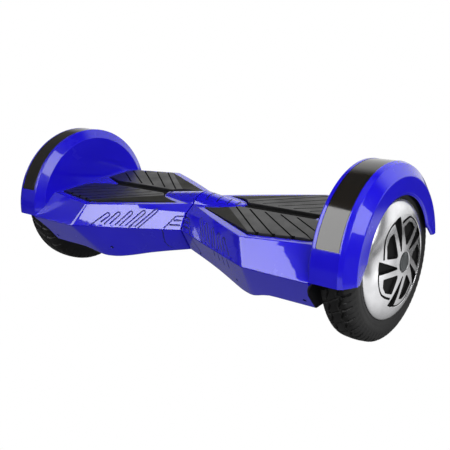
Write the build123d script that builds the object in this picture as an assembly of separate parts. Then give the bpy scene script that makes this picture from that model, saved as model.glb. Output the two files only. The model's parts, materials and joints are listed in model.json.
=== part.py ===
from build123d import *
import math
import os

# Self-balancing two-wheel board, millimetres.
# Origin on the ground under the middle of the board.  +X runs to the right along
# the axle, +Y is the rear, +Z is up.  Pieces are modelled on the right half and
# mirrored about the YZ plane, except for the pivot, the battery, the control board,
# the charge socket and the power button.

os.makedirs("parts", exist_ok=True)


# ------------------------------------------------------------------- helpers
def x_rod(x0, x1, r, y=0.0, z=101.5):
    """Cylinder along X, on the wheel axis unless y and z are given."""
    return Pos((x0 + x1) / 2, y, z) * Rot(0, 90, 0) * Cylinder(r, x1 - x0)


def z_rod(x, y, z0, z1, r):
    return Pos(x, y, (z0 + z1) / 2) * Cylinder(r, z1 - z0)


def drill(part, centres, z0, z1, r):
    """Cut one vertical hole at each (x, y)."""
    for x, y in centres:
        part -= z_rod(x, y, z0, z1, r)
    return part


def block(x0, x1, y0, y1, z0, z1):
    return Pos((x0 + x1) / 2, (y0 + y1) / 2, (z0 + z1) / 2) * Box(x1 - x0, y1 - y0, z1 - z0)


def mid_block(x0, x1, half_y, z0, z1):
    """Block centred on y = 0."""
    return block(x0, x1, -half_y, half_y, z0, z1)


def front_and_rear(points):
    """Each (x, y) at -y and then at +y."""
    return [(x, side * y) for x, y in points for side in (-1, 1)]


def between(x, x0, start, x1, end):
    """Value at x on the line from (x0, start) to (x1, end)."""
    return start + (end - start) * (x - x0) / (x1 - x0)


def grown(points, distance):
    """Counter-clockwise outline moved outward, corners kept sharp."""
    lines = []
    for i, (ax, ay) in enumerate(points):
        bx, by = points[(i + 1) % len(points)]
        length = math.hypot(bx - ax, by - ay)
        nx, ny = (by - ay) / length, -(bx - ax) / length
        lines.append((nx, ny, nx * ax + ny * ay + distance))
    moved = []
    limit = 3 * distance
    for i, (px, py) in enumerate(points):
        (a, b, c), (e, f, g) = lines[i - 1], lines[i]
        det = a * f - b * e
        x, y = (c * f - b * g) / det, (a * g - c * e) / det
        # cut a very sharp tip back so that it doesn't run away
        reach = math.hypot(x - px, y - py)
        if reach > limit:
            x, y = px + (x - px) * limit / reach, py + (y - py) * limit / reach
        moved.append((x, y))
    return moved


def plate(outline, z0, z1):
    face = make_face(Polyline(*outline, close=True))
    return Pos(0, 0, z0) * extrude(face, amount=z1 - z0, dir=(0, 0, 1))


def x_plate(outline, x0, thickness):
    """Plate from a (y, z) outline, extruded toward +X from x0."""
    face = make_face(Polyline(*[(x0, y, z) for y, z in outline], close=True))
    return extrude(face, amount=thickness, dir=(1, 0, 0))


def spin(points, degrees=360.0):
    """Revolve an (x, radius) profile about the wheel axis."""
    face = make_face(Polyline(*[(x, 0.0, AXLE_Z + r) for x, r in points], close=True))
    return revolve(face, axis=WHEEL_AXIS, revolution_arc=degrees)


def ring(x0, x1, r0, r1, degrees=360.0):
    return spin([(x0, r0), (x1, r0), (x1, r1), (x0, r1)], degrees)


def group(parts):
    flat = []
    for part in parts:
        flat += list(part.solids())
    return Compound(children=flat) if len(flat) > 1 else flat[0]


def to_left(part):
    return mirror(part, about=Plane.YZ)


def save(name, part):
    export_step(part, "parts/" + name + ".step")


def save_pair(name, part):
    save("right_" + name, part)
    save("left_" + name, to_left(part))


# -------------------------------------------------------- shared dimensions
TYRE_R = 101.5
AXLE_Z = TYRE_R
WHEEL_AXIS = Axis((0, 0, AXLE_Z), (1, 0, 0))
WHEEL_X = 270.0         # wheel mid plane
AXLE_R = 8.5
FIT = 0.02              # radial clearance of fixed fits
RUN_FIT = 0.05          # radial clearance of running fits
BOLT_R = 3.0            # clamp bolts and pivot lock bolt
BOLT_HOLE_R = 3.05

DECK_Z = 135.5          # flat deck rim
PART_Z = 105.2          # parting plane between top and bottom shells
PART_GAP = 0.4
JOINT_X = 1.2           # each half starts this far from the middle
WALL = 3.0
RECESS_Z = 132.0        # floor of the pad recess
CEILING_Z = 129.5       # underside of the deck
MID_Y = 117.0           # widest line of the body, at PART_Z
LOW_Y, LOW_Z = 86.0, 60.0   # bottom edge of the body
LOW_X = 139.0           # the underside slopes up from here to the joint
JOINT_LOW_Z = 73.0

FENDER_R = 115.6
FENDER_SIDE_R = 104.8
FENDER_IN_X, FENDER_OUT_X = 234.0, 301.5
CREASE_IN_X, CREASE_OUT_X = 248.5, 290.0

TUBE_R, TUBE_BORE = 13.0, 10.0
BUSH_R = 15.0
FLANGE_R = 25.5
PIN_ORBIT, PIN_R = 22.6, 1.5    # twist limit pin

TRAY_Z0, TRAY_Z1 = 71.5, 74.5   # chassis tray
TRAY_ROOT_Z = 74.0      # features on the tray start inside it
BOSS_TOP_Z = TRAY_Z0 - 0.05
BOARD_Z0, BOARD_Z1 = 84.0, 85.6     # main circuit board
GYRO_Z0, GYRO_Z1 = 118.8, 120.3     # gyro circuit board

# (x, y) centres
PLUNGERS = front_and_rear([(125.0, 38.0)])
DECK_POSTS = front_and_rear([(71.0, 36.0), (188.0, 66.0)])
GYRO_PEGS = front_and_rear([(110.0, 20.0), (140.0, 20.0)])
SHELL_SCREWS = front_and_rear([(80.0, 34.0), (150.0, 72.0), (222.0, 72.0)])
CLAMP_BOLTS = front_and_rear([(206.0, 17.5), (222.0, 17.5)])
STANDOFFS = front_and_rear([(88.0, 52.0), (172.0, 52.0)])

# sloping rear face that carries the socket and the button; local z points outward
REAR_FACE = Plane(origin=(185.0, (MID_Y + LOW_Y) / 2, (PART_Z + LOW_Z) / 2), x_dir=(1, 0, 0),
                  z_dir=(0, PART_Z - LOW_Z, LOW_Y - MID_Y))

# ---------------------------------------------------------------- body forms
# Front corners (x, y, z) of one half, from the joint outward on each level:
# four on the deck, one at the joint shoulder, three at mid height, three below.
OUTER_CORNERS = [
    (JOINT_X, -24.0, DECK_Z),
    (75.0, between(75.0, JOINT_X, -24.0, 142.0, -99.5), DECK_Z),
    (142.0, -99.5, DECK_Z),
    (249.0, -78.0, DECK_Z),
    (JOINT_X, -42.5, 123.7),
    (JOINT_X, -54.0, 104.5), (160.0, -MID_Y, PART_Z), (249.0, -MID_Y, PART_Z),
    (JOINT_X, -37.0, JOINT_LOW_Z), (LOW_X, -LOW_Y, LOW_Z), (249.0, -LOW_Y, LOW_Z),
]
INNER_X = JOINT_X + WALL
CAVITY_CORNERS = [
    (INNER_X, -20.0, CEILING_Z),
    (70.0, between(70.0, INNER_X, -20.0, 140.0, -93.0), CEILING_Z),
    (140.0, -93.0, CEILING_Z),
    (FENDER_IN_X, -74.0, CEILING_Z),
    (INNER_X, -34.0, 120.0),
    (INNER_X, -49.5, 105.0), (158.0, -112.8, 105.0), (FENDER_IN_X, -112.8, 105.0),
    (INNER_X, -33.0, 76.3), (138.0, -82.4, 63.2), (FENDER_IN_X, -82.4, 63.2),
]
# faces by corner number; rear corners are numbered 11 on from the front ones
SIDE_FACES = [(0, 4, 1), (4, 2, 1), (4, 5, 6), (4, 6, 2), (2, 6, 7), (2, 7, 3),
              (5, 8, 9), (5, 9, 6), (6, 9, 10, 7)]
CROSS_FACES = [(0, 1, 2, 3, 14, 13, 12, 11), (0, 4, 5, 8, 19, 16, 15, 11),
               (3, 7, 10, 21, 18, 14), (8, 9, 20, 19), (9, 10, 21, 20)]


def faceted_half(front):
    corners = front + [(x, -y, z) for x, y, z in front]
    rear_faces = [[i + 11 for i in face] for face in SIDE_FACES]
    faces = []
    for face in SIDE_FACES + rear_faces + CROSS_FACES:
        faces.append(Face(Wire.make_polygon([corners[i] for i in face], close=True)))
    return Solid(Shell(faces))


def floor_z(x):
    """Underside of the bottom shell."""
    return between(x, JOINT_X, JOINT_LOW_Z, LOW_X, LOW_Z) if x < LOW_X else LOW_Z


# ---------------------------------------------------- tongue, pad and lenses
# (x, y) outlines, counter-clockwise; the pad is notched around the tongue
PAD_OUTLINE = [
    (25.5, -29.8), (146.0, -88.0), (232.2, -70.5), (232.2, -25.0), (186.0, -4.0),
    (186.0, 4.0), (232.2, 25.0), (232.2, 70.5), (146.0, 88.0), (25.5, 29.8),
    (40.0, 27.2), (53.0, 23.2), (63.5, 16.7), (70.5, 9.0), (73.0, 0.0),
    (70.5, -9.0), (63.5, -16.7), (53.0, -23.2), (40.0, -27.2),
]
TONGUE_OUTLINE = [
    (JOINT_X, -24.0), (15.0, -26.2), (27.0, -26.8), (40.0, -25.6), (52.0, -21.8),
    (62.0, -15.6), (69.0, -8.0), (71.5, 0.0), (69.0, 8.0), (62.0, 15.6),
    (52.0, 21.8), (40.0, 25.6), (27.0, 26.8), (15.0, 26.2), (JOINT_X, 24.0),
]
TONGUE_HOLLOW = [(INNER_X, -20), (40, -21), (56, -14), (62, 0), (56, 14), (40, 21),
                 (INNER_X, 20)]
WINDOW_OUTLINE = [(61.0, 6.0), (65.0, 3.5), (66.0, -5.0), (62.0, -8.0)]
BAR_XS = (14.5, 32.0, 48.5)
TONGUE_TILT = 7.6       # degrees down toward the wheel
TONGUE_R = 32.0
TONGUE_CREST_Z = 141.8  # crest height at x = 36
PAD_TOP_Z, PAD_BOTTOM_Z = 138.5, 133.7


def roof(inset=0.0):
    """Tilted cylinder that rounds the top of the tongue."""
    place = Pos(36, 0, TONGUE_CREST_Z - TONGUE_R) * Rot(0, 90 + TONGUE_TILT, 0)
    return place * Cylinder(TONGUE_R - inset, 260)


def indicator_lenses():
    """Three slanted bars and one window let into the tongue."""
    outlines = []
    for x in BAR_XS:
        rear_y, front_y = 12.0 - 0.12 * x, -16.0 + 0.1 * x
        outlines.append([(x - 3.0, rear_y), (x - 0.6, rear_y),
                         (x + 3.0, front_y), (x + 0.6, front_y)])
    lenses = []
    for outline in outlines + [WINDOW_OUTLINE]:
        lenses += list(((plate(outline, 128, 152) & roof()) - roof(1.3)).solids())
    return lenses


def foot_pad():
    pad = plate(PAD_OUTLINE, PAD_BOTTOM_Z, PAD_TOP_Z)
    return pad - mid_block(58, 200, 9.0, 135.3, 145)    # channel along the middle


def gyro_board():
    gyro = mid_block(104, 146, 48, GYRO_Z0, GYRO_Z1)
    gyro = drill(gyro, GYRO_PEGS, 118, 121, 1.5)
    for x, y in PLUNGERS:   # U-shaped holder under each plunger
        gyro += block(x - 8, x + 8, y - 5, y + 5, 120.0, 122.3)
        gyro = (gyro + block(x - 8, x - 4.4, y - 5, y + 5, 122.0, 127.0)
                + block(x + 4.4, x + 8, y - 5, y + 5, 122.0, 127.0))
    return gyro + mid_block(119, 131, 6, 120.0, 121.6) + mid_block(105, 109, 6, 120.0, 125.0)


# -------------------------------------------------------------- light strip
STRIP_X0, STRIP_X1 = 254.0, 283.0
STRIP_R = 115.3
STRIP_INNER_R = STRIP_R - 2.0
STRIP_DEG = 21.5        # lower ends of the strip above the horizontal
STRIP_END_Z = AXLE_Z + FENDER_R * math.sin(math.radians(STRIP_DEG))
LED_R = 112.4
LED_COUNT = 11


def fender_above(z0):
    """Block around the fender, from z0 up."""
    return mid_block(230, 310, 130, z0, 240)


def light_board():
    board = ring(STRIP_X0 + 4.5, STRIP_X1 - 4.5, 110.9, 112.3) & fender_above(STRIP_END_Z + 12)
    for k in range(LED_COUNT):
        degrees = 30 + 12 * k
        angle = math.radians(degrees)
        y, z = LED_R * math.cos(angle), AXLE_Z + LED_R * math.sin(angle)
        board += Pos(WHEEL_X - 1.5, y, z) * Rot(degrees, 0, 0) * Box(5, 1.2, 5)
    return board


# -------------------------------------------------------------------- shells
ARCH_R = 77.0           # round opening in the outer side of the fender
# half widths and heights (y, z) of the sloping part of that opening
ARCH_SLOPE = [(73.0, 125.0), (97.0, 98.0)]


def shell_openings(shell):
    """Axle hole, and room for the chassis flange at the joint."""
    shell -= x_rod(FENDER_IN_X - 3, FENDER_IN_X + WALL + 2, 13.0)
    return shell - x_rod(0, 9.0, FLANGE_R + 0.8)


def top_shell(body, cavity, lenses):
    fender = spin([(FENDER_IN_X, 0), (FENDER_IN_X, FENDER_SIDE_R), (CREASE_IN_X, FENDER_R),
                   (CREASE_OUT_X, FENDER_R), (FENDER_OUT_X, FENDER_SIDE_R), (FENDER_OUT_X, 0)])
    well_x0, well_x1 = FENDER_IN_X + WALL, FENDER_OUT_X - WALL
    well_side_r, well_r = FENDER_SIDE_R - 1.6, FENDER_R - WALL
    well = spin([(well_x0, 0), (well_x0, well_side_r), (CREASE_IN_X + 1.2, well_r),
                 (CREASE_OUT_X - 1.2, well_r), (well_x1, well_side_r), (well_x1, 0)])
    (high_y, high_z), (low_y, low_z) = ARCH_SLOPE
    slope = Polygon((-high_y, high_z), (high_y, high_z), (low_y, low_z), (-low_y, low_z),
                    align=None)
    arch = x_rod(FENDER_OUT_X - 6, FENDER_OUT_X + 2, ARCH_R)
    arch += extrude(Plane.YZ.offset(well_x1 - 0.1) * slope, 6)

    shell = (body + fender) & mid_block(-5, 330, 140, PART_Z + PART_GAP / 2, 240)
    shell = shell - cavity - well - arch
    shell += plate(TONGUE_OUTLINE, 124, 152) & roof()
    shell -= plate(TONGUE_HOLLOW, 122, 150) & roof(2.6)
    shell -= plate(grown(PAD_OUTLINE, 0.5), RECESS_Z, DECK_Z + 4)
    shell = drill(shell, PLUNGERS, CEILING_Z - 1, DECK_Z, 3.7)
    for x, y in DECK_POSTS:
        shell += z_rod(x, y, 100.2, CEILING_Z + 0.5, 5.0)
        shell -= z_rod(x, y, 99.0, 126.0, 1.9)
    for x, y in GYRO_PEGS:
        shell += z_rod(x, y, GYRO_Z1 + 0.1, CEILING_Z + 0.5, 3.0)
        shell += z_rod(x, y, 118.0, 121.0, 1.4)
    shell = shell_openings(shell)
    # seat of the light strip, and the window under it
    seat = ring(STRIP_X0 - 0.25, STRIP_X1 + 0.25, STRIP_INNER_R - 0.05, FENDER_R + 2)
    window = ring(STRIP_X0 + 3.5, STRIP_X1 - 3.5, FENDER_R - 6, FENDER_R + 2)
    shell -= seat & fender_above(STRIP_END_Z - 0.3)
    shell -= window & fender_above(STRIP_END_Z + 6)
    for lens in lenses:
        shell -= lens
    return shell


def bottom_shell(body, cavity):
    """Bottom shell without its rear face hole."""
    below = mid_block(-5, 330, 140, 20, PART_Z - PART_GAP / 2)
    shell = body & below & mid_block(-5, 242.0, 140, 20, 200)
    shell -= cavity
    shell = shell_openings(shell - x_rod(FENDER_IN_X + WALL, 260, 107.5))
    for x, y in SHELL_SCREWS:   # boss, head pocket and shank hole
        floor = floor_z(x)
        shell += z_rod(x, y, floor + 1.0, BOSS_TOP_Z, 5.2)
        shell -= z_rod(x, y, floor - 6.0, floor + 4.0, 3.9)
        shell -= z_rod(x, y, floor, 73.0, 2.1)
    return shell


def face_hole(r):
    return REAR_FACE * (Pos(0, 0, -2) * Cylinder(r, 16))


def shell_screws():
    screws = []
    for x, y in SHELL_SCREWS:
        floor = floor_z(x)
        head = z_rod(x, y, floor + 1.6, floor + 3.95, 3.6)
        screws.append(head + z_rod(x, y, floor + 3, 74.4, 1.95))
    for x, y in DECK_POSTS:
        screws.append(z_rod(x, y, 70.25, BOSS_TOP_Z, 3.4) + z_rod(x, y, 71, 122.0, 1.85))
    return group(screws)


# ------------------------------------------------------------------- chassis
TRAY_OUTLINE = [(56, -37), (136, -79), (231, -79), (231, 79), (136, 79), (56, 37)]
TRAY_END_X = 231
PIVOT_BOSS_R = 20.0
TWIST_DEG = 12.0        # twist allowed each way
SPLIT_GAP = 0.1         # axle clamp and its seat stop this far from the axle plane
LOCK_BOLT_X = 30        # distance from the middle, on the left half


def chassis_frame():
    """Frame common to both halves, before the pivot is bored."""
    frame = plate(TRAY_OUTLINE, TRAY_Z0, TRAY_Z1)
    frame = (frame + x_rod(JOINT_X + 0.3, 62, PIVOT_BOSS_R)
             + x_rod(JOINT_X + 0.3, 8, FLANGE_R))
    frame += mid_block(56, 62, 34, 72, 116)                 # upright behind the pivot
    frame += mid_block(62, 80, 2.5, TRAY_ROOT_Z, 82)        # rib
    for rail_y, end_y in ((-79, -76), (75, 24)):            # side rail and end wall
        frame += block(138, TRAY_END_X, rail_y, rail_y + 4, TRAY_ROOT_Z, 96)
        frame += block(TRAY_END_X - 4, TRAY_END_X, end_y, end_y + 52, TRAY_ROOT_Z, 90)
    for x, y in DECK_POSTS:
        frame += z_rod(x, y, TRAY_ROOT_Z, 100.0, 5.5)
    frame += mid_block(197, TRAY_END_X, 25, TRAY_ROOT_Z, AXLE_Z - SPLIT_GAP)
    frame -= x_rod(180, 240, AXLE_R + FIT)
    frame = drill(frame, CLAMP_BOLTS, 79.0, 110.0, BOLT_HOLE_R)
    frame = drill(frame, DECK_POSTS, 70.0, 101.0, 2.1)
    return drill(frame, SHELL_SCREWS, 70.0, 76.0, 2.0)


def right_chassis(frame):
    """Bored for the bushes, with an arc slot for the twist limit pin."""
    frame = frame - x_rod(0, 70, BUSH_R + FIT)
    slot = x_rod(0, 9, PIN_ORBIT + PIN_R + 0.12) - x_rod(-1, 10, PIN_ORBIT - PIN_R - 0.12)
    half_angle = TWIST_DEG + math.degrees(PIN_R / PIN_ORBIT) + 0.8
    wedge = [(0.0, AXLE_Z)]
    for k in range(9):
        angle = math.radians(-half_angle + 2 * half_angle * k / 8)
        wedge.append((40 * math.sin(angle), AXLE_Z + 40 * math.cos(angle)))
    return frame - (slot & x_plate(wedge, 0.0, 9))


def left_chassis(frame):
    """Holds the tube, pin, lock bolt and board; modelled on the right."""
    frame = frame - x_rod(0, 70, TUBE_R + FIT)
    frame -= x_rod(-1, 9, PIN_R + 0.01, z=AXLE_Z + PIN_ORBIT)
    frame -= z_rod(LOCK_BOLT_X, 0, 70, 101, BOLT_HOLE_R)
    for x, y in STANDOFFS:
        frame += z_rod(x, y, TRAY_ROOT_Z, BOARD_Z0 - 0.1, 3.4)
        frame += z_rod(x, y, 83, 87.0, 1.5)
    return frame


def axle_clamp():
    clamp = mid_block(199, 229, 25, AXLE_Z + SPLIT_GAP, 116) - x_rod(180, 240, AXLE_R + FIT)
    clamp = chamfer(clamp.edges().filter_by(Axis.X).sort_by(Axis.Z)[-2:], 5)
    return drill(clamp, CLAMP_BOLTS, 95, 130, 3.2)


def clamp_bolts():
    bolts = []
    for x, y in CLAMP_BOLTS:
        head = Pos(x, y, 118.6) * extrude(RegularPolygon(5.0, 6), amount=2.55, both=True)
        bolts.append(z_rod(x, y, 80, 116.5, BOLT_R) + head)
    return group(bolts)


# ------------------------------------------------------- wheel and hub motor
RIM_SEAT_R = 68.3       # tyre seat on the rim
RIM_LIP_R = 72.3
HUB_FACE_X = 306.0
CAP_R = 10.85           # centre cap
BEARING_R = 17.5
BEARING_SEAT_R = BEARING_R + FIT
TYRE_W = 45.0
SLOTS = 18
POLES = 20
STATOR_R = 55.8
MAGNET_R0, MAGNET_R1 = 56.6, 60.3

# (x, radius) profiles
RIM_PROFILE = [
    (249, 60.5), (249, 72), (252.5, 72), (254.5, RIM_SEAT_R), (285.5, RIM_SEAT_R),
    (287.5, RIM_LIP_R), (291.0, RIM_LIP_R), (294.5, 69.6), (299.0, 62.5), (302.6, 50),
    (304.8, 34), (HUB_FACE_X, 18), (HUB_FACE_X, CAP_R + 0.05), (297, CAP_R + 0.05),
    (297, BEARING_SEAT_R), (287, BEARING_SEAT_R), (287, 24), (300.2, 24), (299.4, 34),
    (297.4, 49), (293.0, 57), (286, 60.5),
]
COVER_PROFILE = [
    (246, 10), (246, 67.5), (248.95, 67.5), (248.95, 60.4), (250.2, 60.4), (250.2, 24.5),
    (258, 24.5), (258, BEARING_SEAT_R), (248, BEARING_SEAT_R), (248, 10),
]
TYRE_X0, TYRE_X1 = WHEEL_X - TYRE_W / 2, WHEEL_X + TYRE_W / 2
TYRE_PROFILE = [
    (254.7, RIM_SEAT_R + 0.1), (285.3, RIM_SEAT_R + 0.1), (287.3, 72.5), (290.8, 72.6),
    (TYRE_X1 - 0.6, 77), (TYRE_X1, 86), (TYRE_X1 - 1.6, 93), (TYRE_X1 - 5.5, 98.2),
    (TYRE_X1 - 12, 100.8), (WHEEL_X, TYRE_R), (TYRE_X0 + 12, 100.8), (TYRE_X0 + 5.5, 98.2),
    (TYRE_X0 + 1.6, 93), (TYRE_X0, 86), (TYRE_X0 + 0.6, 77), (249.2, 72.4), (252.7, 72.2),
]


def save_rim_and_cover():
    rim, cover, screws = spin(RIM_PROFILE), spin(COVER_PROFILE), []
    for k in range(6):
        angle = math.radians(60 * k + 30)
        y, z = 64.2 * math.cos(angle), AXLE_Z + 64.2 * math.sin(angle)
        screws.append(x_rod(243.9, 245.95, 3.4, y, z) + x_rod(245, 258.5, 1.95, y, z))
        rim -= x_rod(248, 260, 2.0, y, z)
        cover -= x_rod(245, 250, 2.2, y, z)
    save_pair("wheel_rim", rim)
    save_pair("motor_cover", cover)
    save_pair("cover_screws", group(screws))


def wheel_bearings():
    return group([x_rod(x0, x1, BEARING_R) - x_rod(x0 - 1, x1 + 1, AXLE_R + RUN_FIT)
                  for x0, x1 in ((248.1, 257.9), (287.1, 296.9))])


def at_slot(k, r, part):
    """Place a part at slot position k, r out from the wheel axis."""
    return Pos(WHEEL_X - 1, 0, AXLE_Z) * Rot(360.0 / SLOTS * k, 0, 0) * Pos(0, 0, r) * part


def motor_stator():
    stator = x_rod(257, 281, STATOR_R) - x_rod(250, 290, AXLE_R + FIT) - x_rod(250, 259, 26.0)
    stator -= x_rod(250, 290, 51.0) - x_rod(249, 291, 30.0)
    for k in range(SLOTS):  # teeth
        stator += at_slot(k, 40.5, Box(24, 7.0, 23))
    for k in range(SLOTS):  # gaps between the tooth tips
        stator -= at_slot(k + 0.5, 54, Box(30, 3.0, 12))
    coils = [at_slot(k, 42.8, Box(29.6, 10.4, 15.5) - Box(24.08, 7.06, 20))
             for k in range(SLOTS)]
    return group([stator] + coils)


def rotor_magnets():
    return group([ring(257.5, 280.5, MAGNET_R0, MAGNET_R1, 15.0)
                  .rotate(WHEEL_AXIS, 360.0 / POLES * k) for k in range(POLES)])


def motor_cable():
    start = (262, 0, AXLE_Z)
    path = Polyline(start, (190, 0, AXLE_Z), (184.5, 6, AXLE_Z), (184.5, 46, AXLE_Z - 3))
    section = Plane(origin=start, z_dir=(-1, 0, 0)) * Circle(3.1)
    return sweep(section, path=path, transition=Transition.ROUND)


# ------------------------------------------------------------- pivot hardware
CLIP_X0, CLIP_X1 = 62.4, 63.6
# front half of the seal outline (y, z), from the bottom up to the crest
SEAL_HALF = [(-34.5, 76.0), (-50.6, 104.4), (-39.6, 121.6), (-22.3, 132.8), (-15.0, 138.5),
             (-8.0, 142.2), (0.0, 143.6)]


def pivot_tube():
    tube = x_rod(-62, 68, TUBE_R) - x_rod(-63, 69, TUBE_BORE)
    groove = x_rod(CLIP_X0 - 0.1, CLIP_X1 + 0.1, TUBE_R + 1) - x_rod(62, 64, 12.2)
    return tube - groove - z_rod(-LOCK_BOLT_X, 0, 80, 95, BOLT_HOLE_R)


def pivot_bushes():
    return group([x_rod(x0, x1, BUSH_R) - x_rod(x0 - 1, x1 + 1, TUBE_R + RUN_FIT)
                  for x0, x1 in ((3, 23), (40, 60))])


def pivot_circlip():
    clip = x_rod(CLIP_X0, CLIP_X1, 16.8) - x_rod(60, 66, 12.3)
    return clip - mid_block(60, 66, 3.5, AXLE_Z, AXLE_Z + 30)


def pivot_lock_bolt():
    head = z_rod(-LOCK_BOLT_X, 0, 77.4, 81.4, 5.0)
    return head + z_rod(-LOCK_BOLT_X, 0, 81.2, 93.6, BOLT_R)


def joint_seal():
    outline = SEAL_HALF + [(-y, z) for y, z in reversed(SEAL_HALF[:-1])]
    return x_plate(outline, -1.0, 2.0) - x_rod(-3, 3, 24.5)


def wiring_harness():
    """Cable through the tube with a plug at each end."""
    harness = x_rod(-74, 73, 4.0)
    for x0, x1 in ((-82, -74), (73, 80)):
        harness += mid_block(x0, x1, 6.5, AXLE_Z - 5, AXLE_Z + 5)
    return harness


# ---------------------------------------------------------------- electrical
HINGE_Y, HINGE_Z = -15.0, 3.0   # socket cap hinge, in the rear face frame
LUG_X = 4.6


def battery_pack():
    pack = mid_block(84, 178, 65.5, 74.7, 113.6)
    return fillet(pack.edges(), 5)


def battery_bracket():
    strap = mid_block(121, 141, 67.4, 74.6, 115.4) - mid_block(120, 142, 65.8, 74, 113.9)
    for y0 in (-74.5, 66.5):    # feet
        strap += block(121, 141, y0, y0 + 8, 74.6, 76.2)
    return strap


def mainboard():
    return drill(mid_block(82, 178, 58, BOARD_Z0, BOARD_Z1), STANDOFFS, 80, 90, 1.6)


def mainboard_components():
    base = BOARD_Z1 + 0.05
    bits = [block(104, 162, -44, -36, base, 102)]
    bits += [z_rod(x, 18, base, 105, 8.0) for x in (108, 128, 148)]
    bits += [block(x, x + 9, 44, 52, base, 93) for x in (100, 114, 128, 142, 156)]
    bits.append(block(118, 132, -14, 0, base, 87.2))
    bits += [block(x, x + 8, -35.5, -31, base, 98) for x in (106, 118, 130, 142, 154)]
    return group(bits)


def hinge_rod(r, length):
    return Pos(0, HINGE_Y, HINGE_Z) * Rot(0, 90, 0) * Cylinder(r, length)


def charge_port():
    port = Pos(0, 0, -7.9) * Cylinder(9.5, 16.2) + Pos(0, 0, 0.95) * Cylinder(12.5, 1.7)
    port -= Pos(0, 0, -4.0) * Cylinder(6.5, 16.0)
    for x in (-LUG_X, LUG_X):   # hinge lugs
        port += Pos(x, -14.6, 2.4) * Box(2.6, 5.4, 4.6)
    for x in (LUG_X, -LUG_X):   # arms joining the lugs to the rim
        port += Pos(x, -12.5, 0.95) * Box(2.6, 5.0, 1.7)
    return port + hinge_rod(1.0, 9.0)


def charge_port_cap():
    cap = Pos(0, 0, 3.05) * Cylinder(11.8, 2.2)
    cap = cap + Pos(0, -12.5, 3.05) * Box(5.8, 5.0, 2.2) + hinge_rod(1.9, 5.8)
    return cap - hinge_rod(1.05, 10)


def power_button_bezel():
    bezel = Pos(0, 0, -3.9) * Cylinder(9.4, 8.2) + Pos(0, 0, 1.1) * Cylinder(11.5, 2.1)
    return bezel - Cylinder(7.56, 30)


# -------------------------------------------------------------------- export
body = faceted_half(OUTER_CORNERS)
cavity = faceted_half(CAVITY_CORNERS)
lenses = indicator_lenses()
save_pair("top_shell", top_shell(body, cavity, lenses))
save_pair("indicator_lens", group(lenses))
save_pair("light_strip", ring(STRIP_X0, STRIP_X1, STRIP_INNER_R, STRIP_R)
          & fender_above(STRIP_END_Z))
save_pair("light_board", light_board())
bottom = bottom_shell(body, cavity)
save("right_bottom_shell", bottom - face_hole(9.6))
save("left_bottom_shell", to_left(bottom - face_hole(9.5)))
save_pair("shell_screws", shell_screws())
save_pair("foot_pad", foot_pad())
save_pair("pad_plungers", group([z_rod(x, y, 124.2, PAD_BOTTOM_Z - 0.02, 3.2)
                                 for x, y in PLUNGERS]))
save_pair("gyro_board", gyro_board())

frame = chassis_frame()
save("right_chassis", right_chassis(frame))
save("left_chassis", to_left(left_chassis(frame)))
save_pair("axle", x_rod(191, 300, AXLE_R) - x_rod(190, 264, 3.6))
save_pair("axle_clamp", axle_clamp())
save_pair("clamp_bolts", clamp_bolts())

save_rim_and_cover()
save_pair("wheel_bearings", wheel_bearings())
save_pair("hub_cap", x_rod(301.5, HUB_FACE_X + 1.0, CAP_R))
save_pair("motor_stator", motor_stator())
save_pair("rotor_magnets", rotor_magnets())
save_pair("tyre", spin(TYRE_PROFILE))
save_pair("motor_cable", motor_cable())

save("pivot_tube", pivot_tube())
save("pivot_bushes", pivot_bushes())
save("pivot_circlip", pivot_circlip())
save("twist_limit_pin", x_rod(-7.9, 6.8, PIN_R, z=AXLE_Z + PIN_ORBIT))
save("pivot_lock_bolt", pivot_lock_bolt())
save("joint_seal", joint_seal())
save("wiring_harness", wiring_harness())

save("battery_pack", battery_pack())
save("battery_bracket", battery_bracket())
save("mainboard", to_left(mainboard()))
save("mainboard_components", to_left(mainboard_components()))
save("charge_port", REAR_FACE * charge_port())
save("charge_port_cap", REAR_FACE * charge_port_cap())
save("power_button_bezel", to_left(REAR_FACE * power_button_bezel()))
save("power_button", to_left(REAR_FACE * (Pos(0, 0, -1.4) * Cylinder(7.5, 9.0))))
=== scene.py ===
"""Two-wheeled balance board: two mirrored halves meet at a joint at x = 0.

Only the right half (+X) is modelled; the left half is its mirror image. Front is -Y, up is +Z
and the wheel axles lie along X. Shapes are written in millimetres and scaled to metres as
meshes are made. Materials, lights, floor and camera are in metres.
"""
import bpy, bmesh, math, json
import numpy as np
from mathutils import Vector, Matrix
from mathutils.bvhtree import BVHTree


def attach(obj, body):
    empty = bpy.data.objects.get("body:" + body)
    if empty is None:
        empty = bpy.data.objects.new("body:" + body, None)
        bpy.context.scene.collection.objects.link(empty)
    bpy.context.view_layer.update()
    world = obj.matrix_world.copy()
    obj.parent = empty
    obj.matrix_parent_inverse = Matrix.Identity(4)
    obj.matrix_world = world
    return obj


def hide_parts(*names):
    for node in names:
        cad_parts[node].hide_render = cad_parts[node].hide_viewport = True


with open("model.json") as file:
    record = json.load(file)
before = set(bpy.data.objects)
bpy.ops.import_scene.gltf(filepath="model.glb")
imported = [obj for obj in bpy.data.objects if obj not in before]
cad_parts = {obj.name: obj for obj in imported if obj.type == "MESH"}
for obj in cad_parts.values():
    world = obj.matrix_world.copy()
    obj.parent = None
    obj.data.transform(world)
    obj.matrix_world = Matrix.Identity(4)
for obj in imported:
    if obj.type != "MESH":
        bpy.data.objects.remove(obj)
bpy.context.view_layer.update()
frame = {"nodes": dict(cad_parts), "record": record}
NODES = frame["nodes"]
MM = 0.001
AXLE_Z = 101.5


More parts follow.
